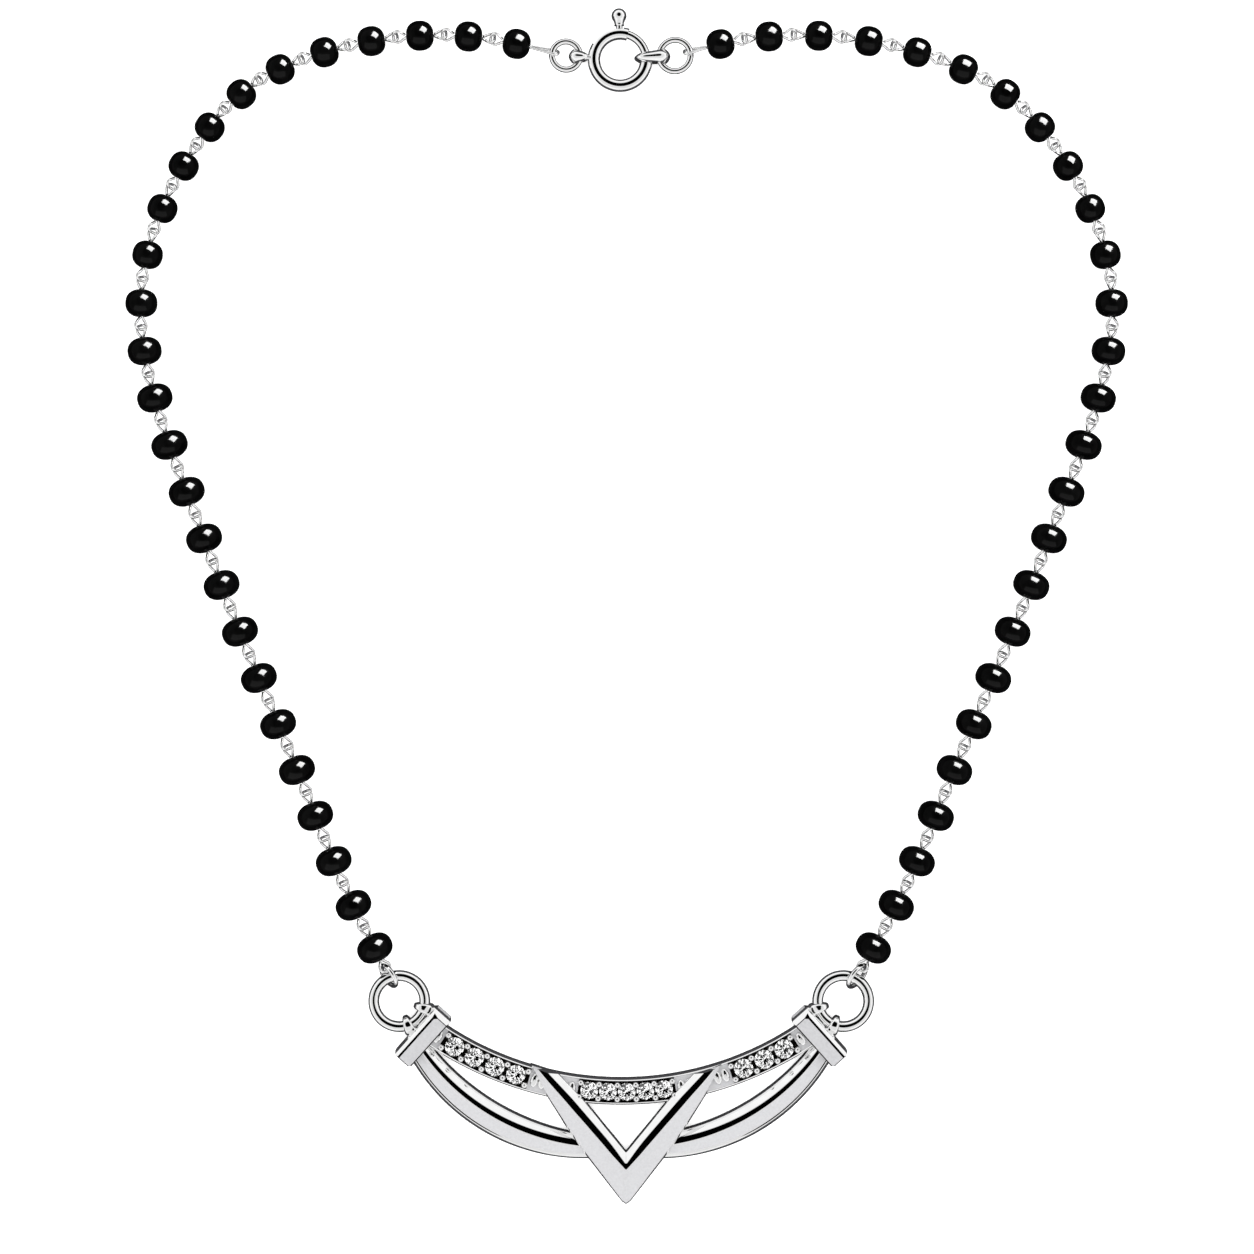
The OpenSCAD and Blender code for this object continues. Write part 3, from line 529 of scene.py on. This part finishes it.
def tube_wall(start, end, low, high):
    """Stretch of the clasp's tube from one angle to another. Its section is a wall between two
    circles about the tube's middle, from one angle of the section to another."""
    a = arc(start, end, 3)
    b = arc(low, high, 10)
    outer = np.column_stack([CLASP_R + TUBE_R * np.cos(b), TUBE_R * np.sin(b)])
    r = TUBE_R - TUBE_WALL
    inner = np.column_stack([CLASP_R + r * np.cos(b), r * np.sin(b)])[::-1]
    section = np.vstack([outer, inner])
    rings = np.stack([section[:, 0] * np.cos(a)[:, None], section[:, 0] * np.sin(a)[:, None],
                      np.broadcast_to(section[:, 1], (len(a), len(section)))], -1)
    rings = rings + [*CLASP_AT, CLASP_Z]
    points = rings.reshape(-1, 3)
    columns = len(section)
    half = columns // 2
    top = np.arange(half - 1)
    ends = []
    for row in (0, len(a) - 1):
        base = row * columns
        quads = np.column_stack([base + top, base + top + 1,
                                 base + columns - 2 - top, base + columns - 1 - top])
        ends.append(quads if row else quads[:, ::-1])
    faces = grid_faces(len(a), columns)
    return points, np.concatenate([faces, *[e[:, ::-1] for e in ends]])


def band_loop(inner, outer, half_height, turn, side):
    """Domed band bent round two wires: a loop in an upright plane, whose width grows from the
    tube to its outer end. Its section, square to the loop, is flat inside and falls outside by
    the square of the distance from the middle. Where it would reach the table it is flat."""
    r = half_height
    a = arc(-90, 90, 10)
    right = np.column_stack([outer - r + r * np.cos(a), r * np.sin(a)])
    left = np.column_stack([inner + r - r * np.cos(a), -r * np.sin(a)])
    share = np.linspace(0, 1, 7)[1:-1, None]
    top = right[-1] + share * (left[0] - right[-1])
    bottom = left[-1] + share * (right[0] - left[-1])
    path = np.vstack([right, top, left, bottom])
    heading = unit(np.roll(path, -1, 0) - np.roll(path, 1, 0))
    out = np.column_stack([heading[:, 1], -heading[:, 0]])
    width = TAG_NECK + (TAG_W - TAG_NECK) * (path[:, 0] - inner) / (outer - inner)
    edge = np.r_[np.linspace(-1, 1, 15), 1, 0.4, -0.4, -1]
    dome = 0.15
    depth = np.r_[dome - (dome + BAND - 0.05) * edge[:15] ** 2, np.full(4, -BAND)]
    place = path[:, None] + out[:, None] * depth[:, None]
    section = np.stack([place[..., 0], edge * width[:, None] / 2, place[..., 1]], -1)
    section = section * [side, 1, 1]
    points = turned(section, turn * side) + [*CLASP_AT, CLASP_Z]
    points[..., 2] = np.maximum(points[..., 2], TABLE_GAP)
    return points.reshape(-1, 3), grid_faces(len(path), section.shape[1], True)


def clasp():
    """Spring ring: a tube bent to a ring with a mouth and a slot, a tag soldered on its left and
    a loose tag on its right, and the sliding tongue with its knob. The knob is a ball on a stalk
    that widens towards it by a power of 1.6 and has a small foot at the tube."""
    slot_from, slot_to = KNOB_ANGLE - SLOT_MARGIN, KNOB_ANGLE + KNOB_TRAVEL + SLOT_MARGIN
    open_half = math.degrees(math.asin((NECK_R + SLOT_GAP) / TUBE_R))
    walls = [tube_wall(MOUTH_TO, slot_from, 0, 360), tube_wall(slot_to, 360 + MOUTH_FROM, 0, 360),
             tube_wall(slot_from, slot_to, open_half, 360 - open_half)]
    loop_r = JUMP_WIRE / 2 + PLAY + BAND
    bite = 0.1
    soldered = band_loop(CLASP_R + TUBE_R - bite, TAG_REACH, loop_r, TAG_TURN, -1)
    piece("spring_ring_tube", walls + [soldered], [SILVER], "clasp_body")

    loose_r = TUBE_R + PLAY + BAND
    loose = band_loop(CLASP_R - loose_r, LOOSE_REACH, loose_r, TAG_TURN, 1)
    piece("loose_tag", [loose], [SILVER], "clasp_tag")

    a = arc(TONGUE_FROM, KNOB_ANGLE + TONGUE_TAIL, 2.5)
    path = spot(CLASP_AT + CLASP_R * np.column_stack([np.cos(a), np.sin(a)]), CLASP_Z)
    turn = math.radians(KNOB_ANGLE)
    out = np.array([math.cos(turn), math.sin(turn), 0])
    foot_gap, foot_r, stalk_r = 0.2, 0.6, 0.52
    foot = CLASP_R + TUBE_R + foot_gap
    head = KNOB_REACH - KNOB_R
    b = arc(-25, 90, 5)
    ball = np.column_stack([KNOB_R * np.cos(b), head + KNOB_R * np.sin(b)])
    c = np.linspace(0, 1, 12)[:-1]
    flare = np.column_stack([stalk_r + (ball[0, 0] - stalk_r) * c ** 1.6 + 0.12 * (1 - c) ** 6,
                             foot + (ball[0, 1] - foot) * c])
    outline = np.vstack([[0.001, CLASP_R], [NECK_R, CLASP_R], [NECK_R, foot], [foot_r, foot],
                         flare, ball, [0.001, CLASP_R + 1]])
    knob_shell = lathe(outline, [*CLASP_AT, CLASP_Z], out, 40)
    piece("tongue_and_knob", [tube(path, np.array([0.0, 0, 1]), TONGUE_R, 20), knob_shell],
          [SILVER], "clasp_trigger", body="trigger")


# Pendant

LEFT_RING = np.array([-CAP_X, 0]) + turned(
    np.array([RING_SHIFT, CAP_W / 2 + RING_SEAT]), CAP_TURN)
RING_Z = CAP_H / 2


def ring_at(side):
    """Middle of a large ring in plan."""
    return PEND_AT + [-side * LEFT_RING[0], LEFT_RING[1]]


def hanging_rings(side):
    """Large ring of the pendant, and the round link from it to the last pin of the chain."""
    word = "left" if side < 0 else "right"
    flat = np.eye(3)
    big = ring(np.array([*ring_at(side), RING_Z]), PEND_R, PEND_WIRE, flat[0], flat[1], 24, 96)
    piece("large_ring_" + word, [big], [SILVER], "pendant_ring_" + word)
    joints, _ = chain(side)
    start = joints[-1]
    toward = unit(start[:2] - ring_at(side))
    held = np.array([*(ring_at(side) + PEND_R * toward), RING_Z])
    way = unit(held - start)
    r = (np.linalg.norm(held - start) + (PEND_WIRE + LINK_WIRE) / 2 + PLAY) / 2
    level = unit(np.array([-way[1], way[0], 0]))
    roll = math.radians(LINK_ROLL if side < 0 else 180 - LINK_ROLL)
    second = level * math.cos(roll) + np.cross(way, level) * math.sin(roll)
    link = ring(start + way * r, r, LINK_WIRE, way, second)
    piece("end_link_wire_" + word, [link], [SILVER], "end_link_" + word)


def on_cap(points, side):
    """Points of the left cap's own frame moved to the pendant, mirrored for the right cap."""
    moved = turned(points, CAP_TURN) + [-CAP_X, 0, 0]
    return moved * [-side, 1, 1] + [*PEND_AT, 0]


def cut_block(planes):
    """Corners of a block: every point where three of its planes (direction, distance) meet that
    lies inside all of them."""
    n = unit(np.array([p[:3] for p in planes], float))
    d = np.array([p[3] / np.linalg.norm(p[:3]) for p in planes])
    i, j, k = np.array([(i, j, k) for i in range(len(d)) for j in range(i) for k in range(j)]).T
    m = np.stack([n[i], n[j], n[k]], 1)
    good = np.abs(np.linalg.det(m)) > 1e-6
    corner = np.linalg.solve(m[good], np.stack([d[i], d[j], d[k]], 1)[good][..., None])[..., 0]
    inside = (corner @ n.T <= d + 1e-9).all(1)
    return np.unique(np.round(corner[inside], 6), axis=0)


def cap_corners():
    """Corners of a cap in its own frame: an oblong block whose ring side and upper end lean. A
    gentle strip runs inside each leaning face and one across their corner, where they mirror the
    tent's dark opening. Facets run round the top, and the upright corners are cut off."""
    x, y = CAP_L / 2, CAP_W / 2
    end_lean = CAP_LEAN * CAP_BEVEL / CAP_END
    side_from, end_from = y - CAP_BEVEL, x - CAP_END
    planes = [(1, 0, 0, x), (-1, 0, 0, x), (0, 1, 0, y), (0, -1, 0, y), (0, 0, 1, CAP_H),
              (0, 0, -1, 0)]
    # Leaning faces and strips: slope along x and y, and where along them the fall begins
    falls = ((0, CAP_LEAN, side_from), (end_lean, 0, end_from),
             (0, STRIP_LEAN, side_from - SIDE_STRIP), (STRIP_LEAN, 0, end_from - END_STRIP),
             (CORNER_LEAN, CORNER_LEAN, end_from + side_from - CORNER_STRIP))
    planes += [(a, b, 1, max(a, b) * begin + CAP_H) for a, b, begin in falls]
    # Facets: direction, distance of the wall, and how far the face above it has fallen there
    walls = ((1, 0, x, end_lean * CAP_END), (0, 1, y, CAP_LEAN * CAP_BEVEL), (-1, 0, x, 0),
             (0, -1, y, 0))
    planes += [(FACET_FALL * a, FACET_FALL * b, 1, FACET_FALL * (far - FACET) + CAP_H - fallen)
               for a, b, far, fallen in walls]
    planes += [(a, b, 0, x + y - CAP_BEVEL / 2) for a in (-1, 1) for b in (-1, 1)]
    return cut_block(planes)


def cap(name, side):
    """End block of the pendant: the hull of its corners. Its top and upper end are satin, and its
    facet beside the bar is painted dark as shade. Edges of its walls are rounded by their bevel
    weight."""
    mesh = bpy.data.meshes.new(name)
    work = bmesh.new()
    for corner in on_cap(cap_corners(), side) * MM:
        work.verts.new(corner)
    bmesh.ops.convex_hull(work, input=work.verts)
    bmesh.ops.dissolve_limit(work, angle_limit=0.02, verts=work.verts, edges=work.edges)
    bmesh.ops.recalc_face_normals(work, faces=work.faces)
    work.to_mesh(mesh)
    work.free()
    for each in (SILVER, SATIN, SHADE_PAINT):
        mesh.materials.append(each)
    middle, end, foot = on_cap(np.array([[0.0, 0, 0], [1, 0, 0], [0, -FACET_FALL, 1]]), side)
    for face in mesh.polygons:
        satin = max(face.normal.z, np.dot(face.normal, end - middle)) > 0.99
        # dark: the facet beside the bar, which gets the painted shade
        dark = np.dot(face.normal, unit(foot - middle)) > 0.99
        face.material_index = 2 if dark else int(satin)
    made = finish_piece(mesh, "pendant_frame", BODY, 4)
    walls = {key for face in mesh.polygons if abs(face.normal.z) < 0.1 for key in face.edge_keys}
    weight = mesh.attributes.new("bevel_weight_edge", "FLOAT", "EDGE")
    weight.data.foreach_set("value", [float(edge.key in walls) for edge in mesh.edges])
    bevel = made.modifiers.new("rounded_edges", "BEVEL")
    bevel.width, bevel.segments = CAP_ROUNDING * MM, 3
    bevel.limit_method, bevel.harden_normals, bevel.material = "WEIGHT", True, 0


def knuckles(name, side):
    """Two barrels on a cap that hold its ring: round an arc of the ring their radius grows past
    the ring's by the wall's thickness times the root of 1 - s^4, with s from -1 to 1."""
    centre = np.array([RING_SHIFT, CAP_W / 2 + RING_SEAT, RING_Z])
    half = math.degrees(KNUCKLE_W / 2 / PEND_R)
    share = np.sin(np.linspace(-1, 1, 17) * np.pi / 2)
    radius = PEND_WIRE / 2 + RING_PLAY + KNUCKLE_WALL * (1 - share ** 4) ** 0.5
    shells = []
    for angle in (-KNUCKLE_ANGLE, KNUCKLE_ANGLE):
        a = np.radians(angle - 90 + half * share)
        path = centre + PEND_R * np.column_stack([np.cos(a), np.sin(a), np.zeros(len(a))])
        p, f = tube(path, np.array([0.0, 0, 1]), radius, 32)
        shells.append((on_cap(p, side), f))
    piece(name, shells, [SILVER], "pendant_frame")


BAR_RISE = math.sqrt((BAR_R + BAR_IN) ** 2 - CAP_X ** 2)


def on_bar(angle, r, z):
    """Point of the stone bar, by the angle from straight down and the distance from its centre."""
    a = np.radians(np.asarray(angle, float) - 90)
    x, y = PEND_AT[0] + r * np.cos(a), PEND_AT[1] + BAR_RISE + r * np.sin(a)
    return np.stack(np.broadcast_arrays(x, y, z), -1)


def stone_bar():
    """Curved bar with a sunk bed for each group of stones. Its section is an oblong whose middle
    is lowered inside a group, with rims that stay up and lean out to a facet. Ball prongs stand
    on stems round the stones, and long low beads on the flat ends."""
    reach = math.degrees(math.atan2(CAP_X, BAR_RISE))
    degree = math.degrees(1 / BAR_R)
    groups = [(count, share * reach, pitch * degree) for count, share, pitch in STONE_GROUPS]
    spans = [[middle + way * ((count - 1) / 2 + CHANNEL_PAST) * pitch for way in (-1, 1)]
             for count, middle, pitch in groups]
    angles = np.concatenate([np.linspace(-reach, reach, 121)]
                            + [[s, s + 0.1, e - 0.1, e] for s, e in spans])
    angles = np.unique(angles)
    sunk = np.zeros(len(angles))
    for s, e in spans:
        sunk = np.maximum(sunk, np.clip(np.minimum(angles - s, e - angles) / 0.1, 0, 1))
    half, floor, bed_lean, steps = BAR_W / 2, BAR_H - BED_DEPTH * sunk, 0.03, 3
    inner = half - BAR_RIM
    section = ((half, 0), (half, BAR_H - LOWER_RIM_FALL - FACET_FALL * LOWER_FACET),
               (half - LOWER_FACET, BAR_H - LOWER_RIM_FALL), (inner, BAR_H),
               (inner - bed_lean, floor), (bed_lean - inner, floor), (-inner, BAR_H),
               (FACET - half, BAR_H - UPPER_RIM_FALL),
               (-half, BAR_H - UPPER_RIM_FALL - FACET_FALL * FACET), (-half, 0))
    cuts = [0.1, 0.03, 0.03, 0.04, 0.01, 0.01, 0.04, 0.03, 0.03, 0.1]
    rings = soften(np.stack([on_bar(angles, BAR_R + r, z) for r, z in section], 1), cuts, steps)
    points, faces = skin(rings)
    # From the lower rim's corner (3) to the upper rim's (6) the top is satin, and the bed between
    # their inner ends is painted dark as shade
    row, column = np.divmod(np.arange(len(faces)), rings.shape[1])
    lowered = np.r_[0, sunk, 0][np.clip(row, 0, len(sunk))] > 0.5
    top = (column >= 3 * (steps + 1)) & (column < 7 * (steps + 1) - 1)
    dark = (column >= 4 * (steps + 1) - 1) & (column < 6 * (steps + 1)) & lowered
    number = np.where(dark, 2, top.astype(int))

    b = arc(-53, 90, 12)
    across, rise = np.cos(b), BALL_D / 2 * np.sin(b)
    stem_z, ball_z, dome_z, dome_foot = 0.8, BAR_H + 0.35, BAR_H + 0.02, BAR_H - 0.2
    prong = np.vstack([[0.001, stem_z], [BALL_STEM, stem_z],
                       np.column_stack([BALL_D / 2 * across, ball_z + rise]), [0.001, ball_z]])
    dome = np.vstack([[0.001, dome_foot],
                      np.column_stack([END_WIDE / 2 * across, dome_z + rise])[2:],
                      [0.001, BAR_H]])
    balls = []
    for count, middle, pitch in groups:
        for i in range(count + 1):
            for r in (BAR_R - BALL_GAP / 2, BAR_R + BALL_GAP / 2):
                angle = middle + (i - count / 2) * pitch
                balls.append(lathe(prong, on_bar(angle, r, 0), [0, 0, 1], 16))
        for way in (-1, 1):
            # A group's end beside a cap has room for one long bead, and any other for two
            beside_cap = way * middle > reach / 2
            for step in (1,) if beside_cap else (1, 2):
                angle = middle + way * (count / 2 * pitch + step * END_STEP * degree)
                place = on_bar(angle, BAR_R, 0)
                out = on_bar(angle, BAR_R + 1, 0) - place
                p, f = lathe(dome, place, [0, 0, 1], 20)
                stretch = ((p - place) @ out)[:, None] * out
                balls.append((p + stretch * (END_LONG - 1), f))
    piece("stone_bar", [(points, faces, number)] + balls, [SILVER, SATIN, SHADE_PAINT], "pendant_frame")


def crescent():
    """Smooth bar below the stones. Its inner edge is a circle, its outer edge two arcs that meet
    in the middle. A steep face rises from the inner edge and a gentle one from the outer edge, at
    0.8 and 0.4 for each millimetre, and they meet at the crest, which is cut down to a flat strip
    that reaches 0.24 mm to each side at the caps and 0.42 mm in the middle. A lip runs along the
    outer edge and fades, as 2 - 2.7 t between 0 and 1, with t from 0 at the cap to 1 in the
    middle."""
    line = np.array([math.cos(math.radians(CAP_TURN)), math.sin(math.radians(CAP_TURN))])
    corner = np.array([-CAP_X, 0]) + CAP_W / 2 * np.array([line[1], -line[0]])
    top, foot = corner - TOP_SHARE * CAP_L * line, corner - FOOT_SHARE * CAP_L * line
    in_y = top[1] + math.sqrt(CRESCENT_IN_R ** 2 - top[0] ** 2)
    out_y = foot[1] + math.sqrt(CRESCENT_OUT_R ** 2 - (foot[0] + LOBE_X) ** 2)
    under, steps = 0.05, 4
    t = np.linspace(-under, 1, 90)
    a_top = math.atan2(top[1] - in_y, top[0])
    a_foot = math.atan2(foot[1] - out_y, foot[0] + LOBE_X)
    a = a_top + (-math.pi / 2 - a_top) * t
    inner = np.column_stack([CRESCENT_IN_R * np.cos(a), in_y + CRESCENT_IN_R * np.sin(a)])
    cusp = math.atan2(-math.sqrt(CRESCENT_OUT_R ** 2 - LOBE_X ** 2), LOBE_X)
    b = a_foot + (cusp - a_foot) * t
    outer = np.column_stack([-LOBE_X + CRESCENT_OUT_R * np.cos(b),
                             out_y + CRESCENT_OUT_R * np.sin(b)])
    width = np.linalg.norm(outer - inner, axis=1)
    crest = inner + (outer - inner) * GENTLE / (GENTLE + STEEP)
    high = CRESCENT_EDGE + width * GENTLE * STEEP / (GENTLE + STEEP)
    way = unit(outer - inner)
    lip = LIP * np.clip(2 - 2.7 * t, 0, 1)
    flat = (0.24 + 0.18 * np.clip(t, 0, 1))[:, None]
    # Distances from an edge: where the steep face is reached in two leaning cuts, and where the
    # lip begins, stands highest and falls to the facet
    cut, steep_from, lip_from, lip_top, lip_end = 0.17, 0.34, 0.66, 0.46, 0.34
    rim = CRESCENT_EDGE + 0.06
    corners = [spot(p + PEND_AT, z) for p, z in (
        (inner, 0), (inner, CRESCENT_EDGE - 0.12), (inner + way * cut, CRESCENT_EDGE + 0.16),
        (inner + way * steep_from, CRESCENT_EDGE + steep_from * STEEP - 0.02),
        (crest - way * flat, high - STEEP * flat[:, 0]),
        (crest + way * flat, high - GENTLE * flat[:, 0]),
        (outer - way * lip_from, CRESCENT_EDGE + lip_from * GENTLE),
        (outer - way * lip_top, CRESCENT_EDGE + lip_top * GENTLE + lip),
        (outer - way * lip_end, CRESCENT_EDGE + lip_end * GENTLE + lip / 2),
        (outer - way * OUTER_FACET, rim),
        (outer, rim - FACET_FALL * OUTER_FACET),
        (outer, 0))]
    cuts = [0.1, 0.1, 0.08, 0.04, 0.14, 0.14, 0.05, 0.07, 0.06, 0.03, 0.03, 0.1]
    rings = soften(np.stack(corners, 1), cuts, steps)
    wings = []
    for side in (-1, 1):
        wing = (rings - [*PEND_AT, 0]) * [-side, 1, 1]
        stop = CHEV_SHIFT + side * CRESCENT_BREAK / 2
        wing[..., 0] = np.maximum(wing[..., 0] * side, stop * side) * side
        points, faces = skin(wing + [*PEND_AT, 0])
        wings.append((points, faces, strip_faces(faces, rings, 5, steps).astype(int)))
    piece("crescent", wings, [SILVER, SATIN], "pendant_frame", sharp=30)
    return out_y


def chevron(out_y):
    """V shaped bar: sections from one upper end round the tip to the other, twelve to each row of
    CHEV_ROWS. Three times, each section between the ends and the last row gives way to a quarter
    of the one before it, half of itself and a quarter of the one after it. The ridge is cut down
    to a flat strip that reaches 0.2 mm to each side at the tip and up to 0.8 mm at the top."""
    top = BAR_RISE - math.sqrt((BAR_R - BAR_W / 2) ** 2 - CHEV_HALF ** 2)
    tip = out_y - CRESCENT_OUT_R - CHEV_DROP
    tall = top - tip
    per_row, steps = 12, 5
    t = np.linspace(0, len(CHEV_ROWS) - 1, per_row * (len(CHEV_ROWS) - 1) + 1)
    rows = np.column_stack([np.interp(t, np.arange(len(CHEV_ROWS)), c) for c in CHEV_ROWS.T])
    for _ in range(3):
        middle = slice(1, -per_row)
        rows[middle] = (rows[:-per_row - 1] + 2 * rows[middle] + rows[2:1 - per_row]) / 4
    sections = np.concatenate([rows * np.array([-1, 1, -1, 1, -1, 1]), rows[-2::-1]])
    x, y = sections[:, 0::2] * CHEV_HALF + CHEV_SHIFT, sections[:, 1::2] * tall + tip
    outer, ridge, inner = (spot(np.column_stack([x[:, c], y[:, c]]) + PEND_AT, z)
                           for c, z in enumerate((CHEV_EDGE, CHEV_RIDGE, CHEV_EDGE)))
    flat = 0.2 + 0.6 * np.clip((y[:, 1:2] - tip) / tall, 0, 1)
    flat = np.minimum(flat, 0.45 * np.linalg.norm(inner - ridge, axis=1, keepdims=True))
    corners = [outer * [1, 1, 0] + [0, 0, CHEV_BACK], outer - [0, 0, FACET_FALL * OUTER_FACET],
               outer + OUTER_FACET * unit(ridge - outer), ridge + flat * unit(outer - ridge),
               ridge + flat * unit(inner - ridge), inner, inner * [1, 1, 0] + [0, 0, CHEV_BACK]]
    rings = soften(np.stack(corners, 1), [0.12, 0.03, 0.03, 0.1, 0.1, 0.16, 0.12], steps)
    points, faces = skin(rings)
    satin = strip_faces(faces, rings, 2, steps).astype(int)
    piece("chevron", [(points, faces, satin)], [SILVER, SATIN], "pendant_frame", sharp=30)


for side in (-1, 1):
    bead_string(side)
    pin_row(side)
    jump_ring(side)
    hanging_rings(side)
clasp()
for side, name in ((-1, "cap_left"), (1, "cap_right")):
    cap(name, side)
    knuckles(name + "_knuckles", side)
stone_bar()
chevron(crescent())
for name, node in frame["nodes"].items():
    if name.startswith("stone_"):
        node.data.materials.clear()
        node.data.materials.append(ZIRCONIA)


# Floor, light and camera

def floor_plane():
    """Plain pale table top, matt and a little uneven in tone, just under the necklace. It glows
    faintly white, painted light that fills the shadows round the necklace. To glossy rays it shows
    as a dark grey card, a painted shade that stands for the table in the necklace's own shade, so
    polished metal mirrors it darker than the eye sees it."""
    # Emission Strength 0.4 makes the table glow white: painted light that lifts the shadows on it
    made, tree, shader, place = material("matt_white_card", Roughness=0.9, Specular_IOR_Level=0.1,
                                         Emission_Strength=0.4)
    tone = speckle(tree, place, 40.0)
    tree.links.new(two_tone(tree, tone, "FAFAFA", "FCFCFC"), shader.inputs["Base Color"])
    # Painted shade: glossy rays see the table as this dark grey instead of its own white
    painted_shade = add_node(tree, "ShaderNodeBsdfDiffuse", {"Color": linear("3A3A3C")})
    path = add_node(tree, "ShaderNodeLightPath")
    both = add_node(tree, "ShaderNodeMixShader", {
        0: path.outputs["Is Glossy Ray"], 1: shader.outputs[0], 2: painted_shade.outputs[0]})
    tree.links.new(both.outputs[0], tree.nodes["Material Output"].inputs["Surface"])
    size, z = 2.0, -2e-5
    mesh = bpy.data.meshes.new("floor")
    mesh.from_pydata([(-size, -size, z), (size, -size, z), (size, size, z), (-size, size, z)],
                     [], [(0, 1, 2, 3)])
    mesh.materials.append(made)
    floor = bpy.data.objects.new("floor", mesh)
    bpy.context.scene.collection.objects.link(floor)


def white_tent():
    """Light tent round the table: white at its sides, pale grey overhead, with one dark opening
    overhead towards the clasp. Polished metal shows the opening as black lines along its edges."""
    world = bpy.data.worlds.new("white_tent")
    bpy.context.scene.world = world
    world.use_nodes = True
    tree = world.node_tree
    tree.nodes.clear()
    way = add_node(tree, "ShaderNodeTexCoord").outputs["Generated"]
    height = add_node(tree, "ShaderNodeSeparateXYZ", {"Vector": way}).outputs["Z"]
    cloth = add_node(tree, "ShaderNodeMapRange", {
        "Value": height, "From Min": 0.45, "From Max": 0.65, "To Min": 1.0, "To Max": 0.80})
    # The opening is an oval: directions within these distances of its middle along X and Y
    middle, reach = (0.0, 0.22, 0.0), (0.50, 0.48, 30.0)
    moved = add_node(tree, "ShaderNodeVectorMath", {0: way, 1: middle}, operation="SUBTRACT")
    share = add_node(tree, "ShaderNodeVectorMath", {0: moved.outputs[0], 1: reach},
                     operation="DIVIDE")
    far = add_node(tree, "ShaderNodeVectorMath", {0: share.outputs[0]}, operation="LENGTH")
    dark = add_node(tree, "ShaderNodeMapRange", {
        "Value": far.outputs["Value"], "From Min": 0.92, "From Max": 1.04})
    tone = add_node(tree, "ShaderNodeMath", {0: cloth.outputs[0], 1: dark.outputs[0]},
                    operation="MULTIPLY")
    path = add_node(tree, "ShaderNodeLightPath")
    seen = add_node(tree, "ShaderNodeBackground", {"Color": tone.outputs[0], "Strength": 1.0})
    # The stones break the tent and the room behind it into patches, more white than dark
    patch = add_node(tree, "ShaderNodeTexNoise", {"Vector": way, "Scale": 2.6, "Detail": 0.0})
    split = add_node(tree, "ShaderNodeMapRange", {
        "Value": patch.outputs["Fac"], "From Min": 0.445, "From Max": 0.465, "To Max": 1.5})
    broken = add_node(tree, "ShaderNodeBackground", {"Color": split.outputs[0], "Strength": 1.0})
    light = add_node(tree, "ShaderNodeBackground", {"Color": (1, 1, 1, 1), "Strength": 2.0})
    clear = add_node(tree, "ShaderNodeMixShader", {
        0: path.outputs["Is Transmission Ray"], 1: seen.outputs[0], 2: broken.outputs[0]})
    mixed = add_node(tree, "ShaderNodeMixShader", {
        0: path.outputs["Is Diffuse Ray"], 1: clear.outputs[0], 2: light.outputs[0]})
    add_node(tree, "ShaderNodeOutputWorld", {"Surface": mixed.outputs[0]})


def soft_light(name, place, wide, tall, power, lit):
    """Soft light that faces the necklace and gives gloss to the pieces in a collection."""
    lamp = bpy.data.lights.new(name, "AREA")
    lamp.shape, lamp.size, lamp.size_y, lamp.energy = "RECTANGLE", wide, tall, power
    made = bpy.data.objects.new(name, lamp)
    made.location = place
    x, y, z = (-v for v in place)
    made.rotation_euler = (math.atan2(math.hypot(x, y), -z), 0, math.atan2(y, x) - math.pi / 2)
    made.visible_diffuse = False
    made.light_linking.receiver_collection = lit
    bpy.context.scene.collection.objects.link(made)


def photo_camera():
    """Straight above, with +Y up, so that the picture's 156.75 mm fill the frame."""
    lens, sensor, wide, middle, mid_height = 100.0, 36.0, 156.75, (0.06, -2.65), 1.5
    data = bpy.data.cameras.new("camera")
    data.lens, data.sensor_width, data.clip_start, data.clip_end = lens, sensor, 0.01, 20.0
    camera = bpy.data.objects.new("camera", data)
    camera.location = (middle[0] * MM, middle[1] * MM, (wide * lens / sensor + mid_height) * MM)
    bpy.context.scene.collection.objects.link(camera)
    bpy.context.scene.camera = camera
    bpy.context.scene.view_settings.view_transform = "Standard"


floor_plane()
white_tent()
onyx = bpy.data.collections.new("onyx")
for each in list(bpy.data.objects):
    if each.name.startswith("onyx_"):
        onyx.objects.link(each)
soft_light("window", (0.454, 0.823, 0.739), 0.9, 0.9, 1240.0, onyx)
soft_light("reflector", (-0.10, -0.85, 0.80), 2.1, 1.1, 32.0, onyx)
photo_camera()
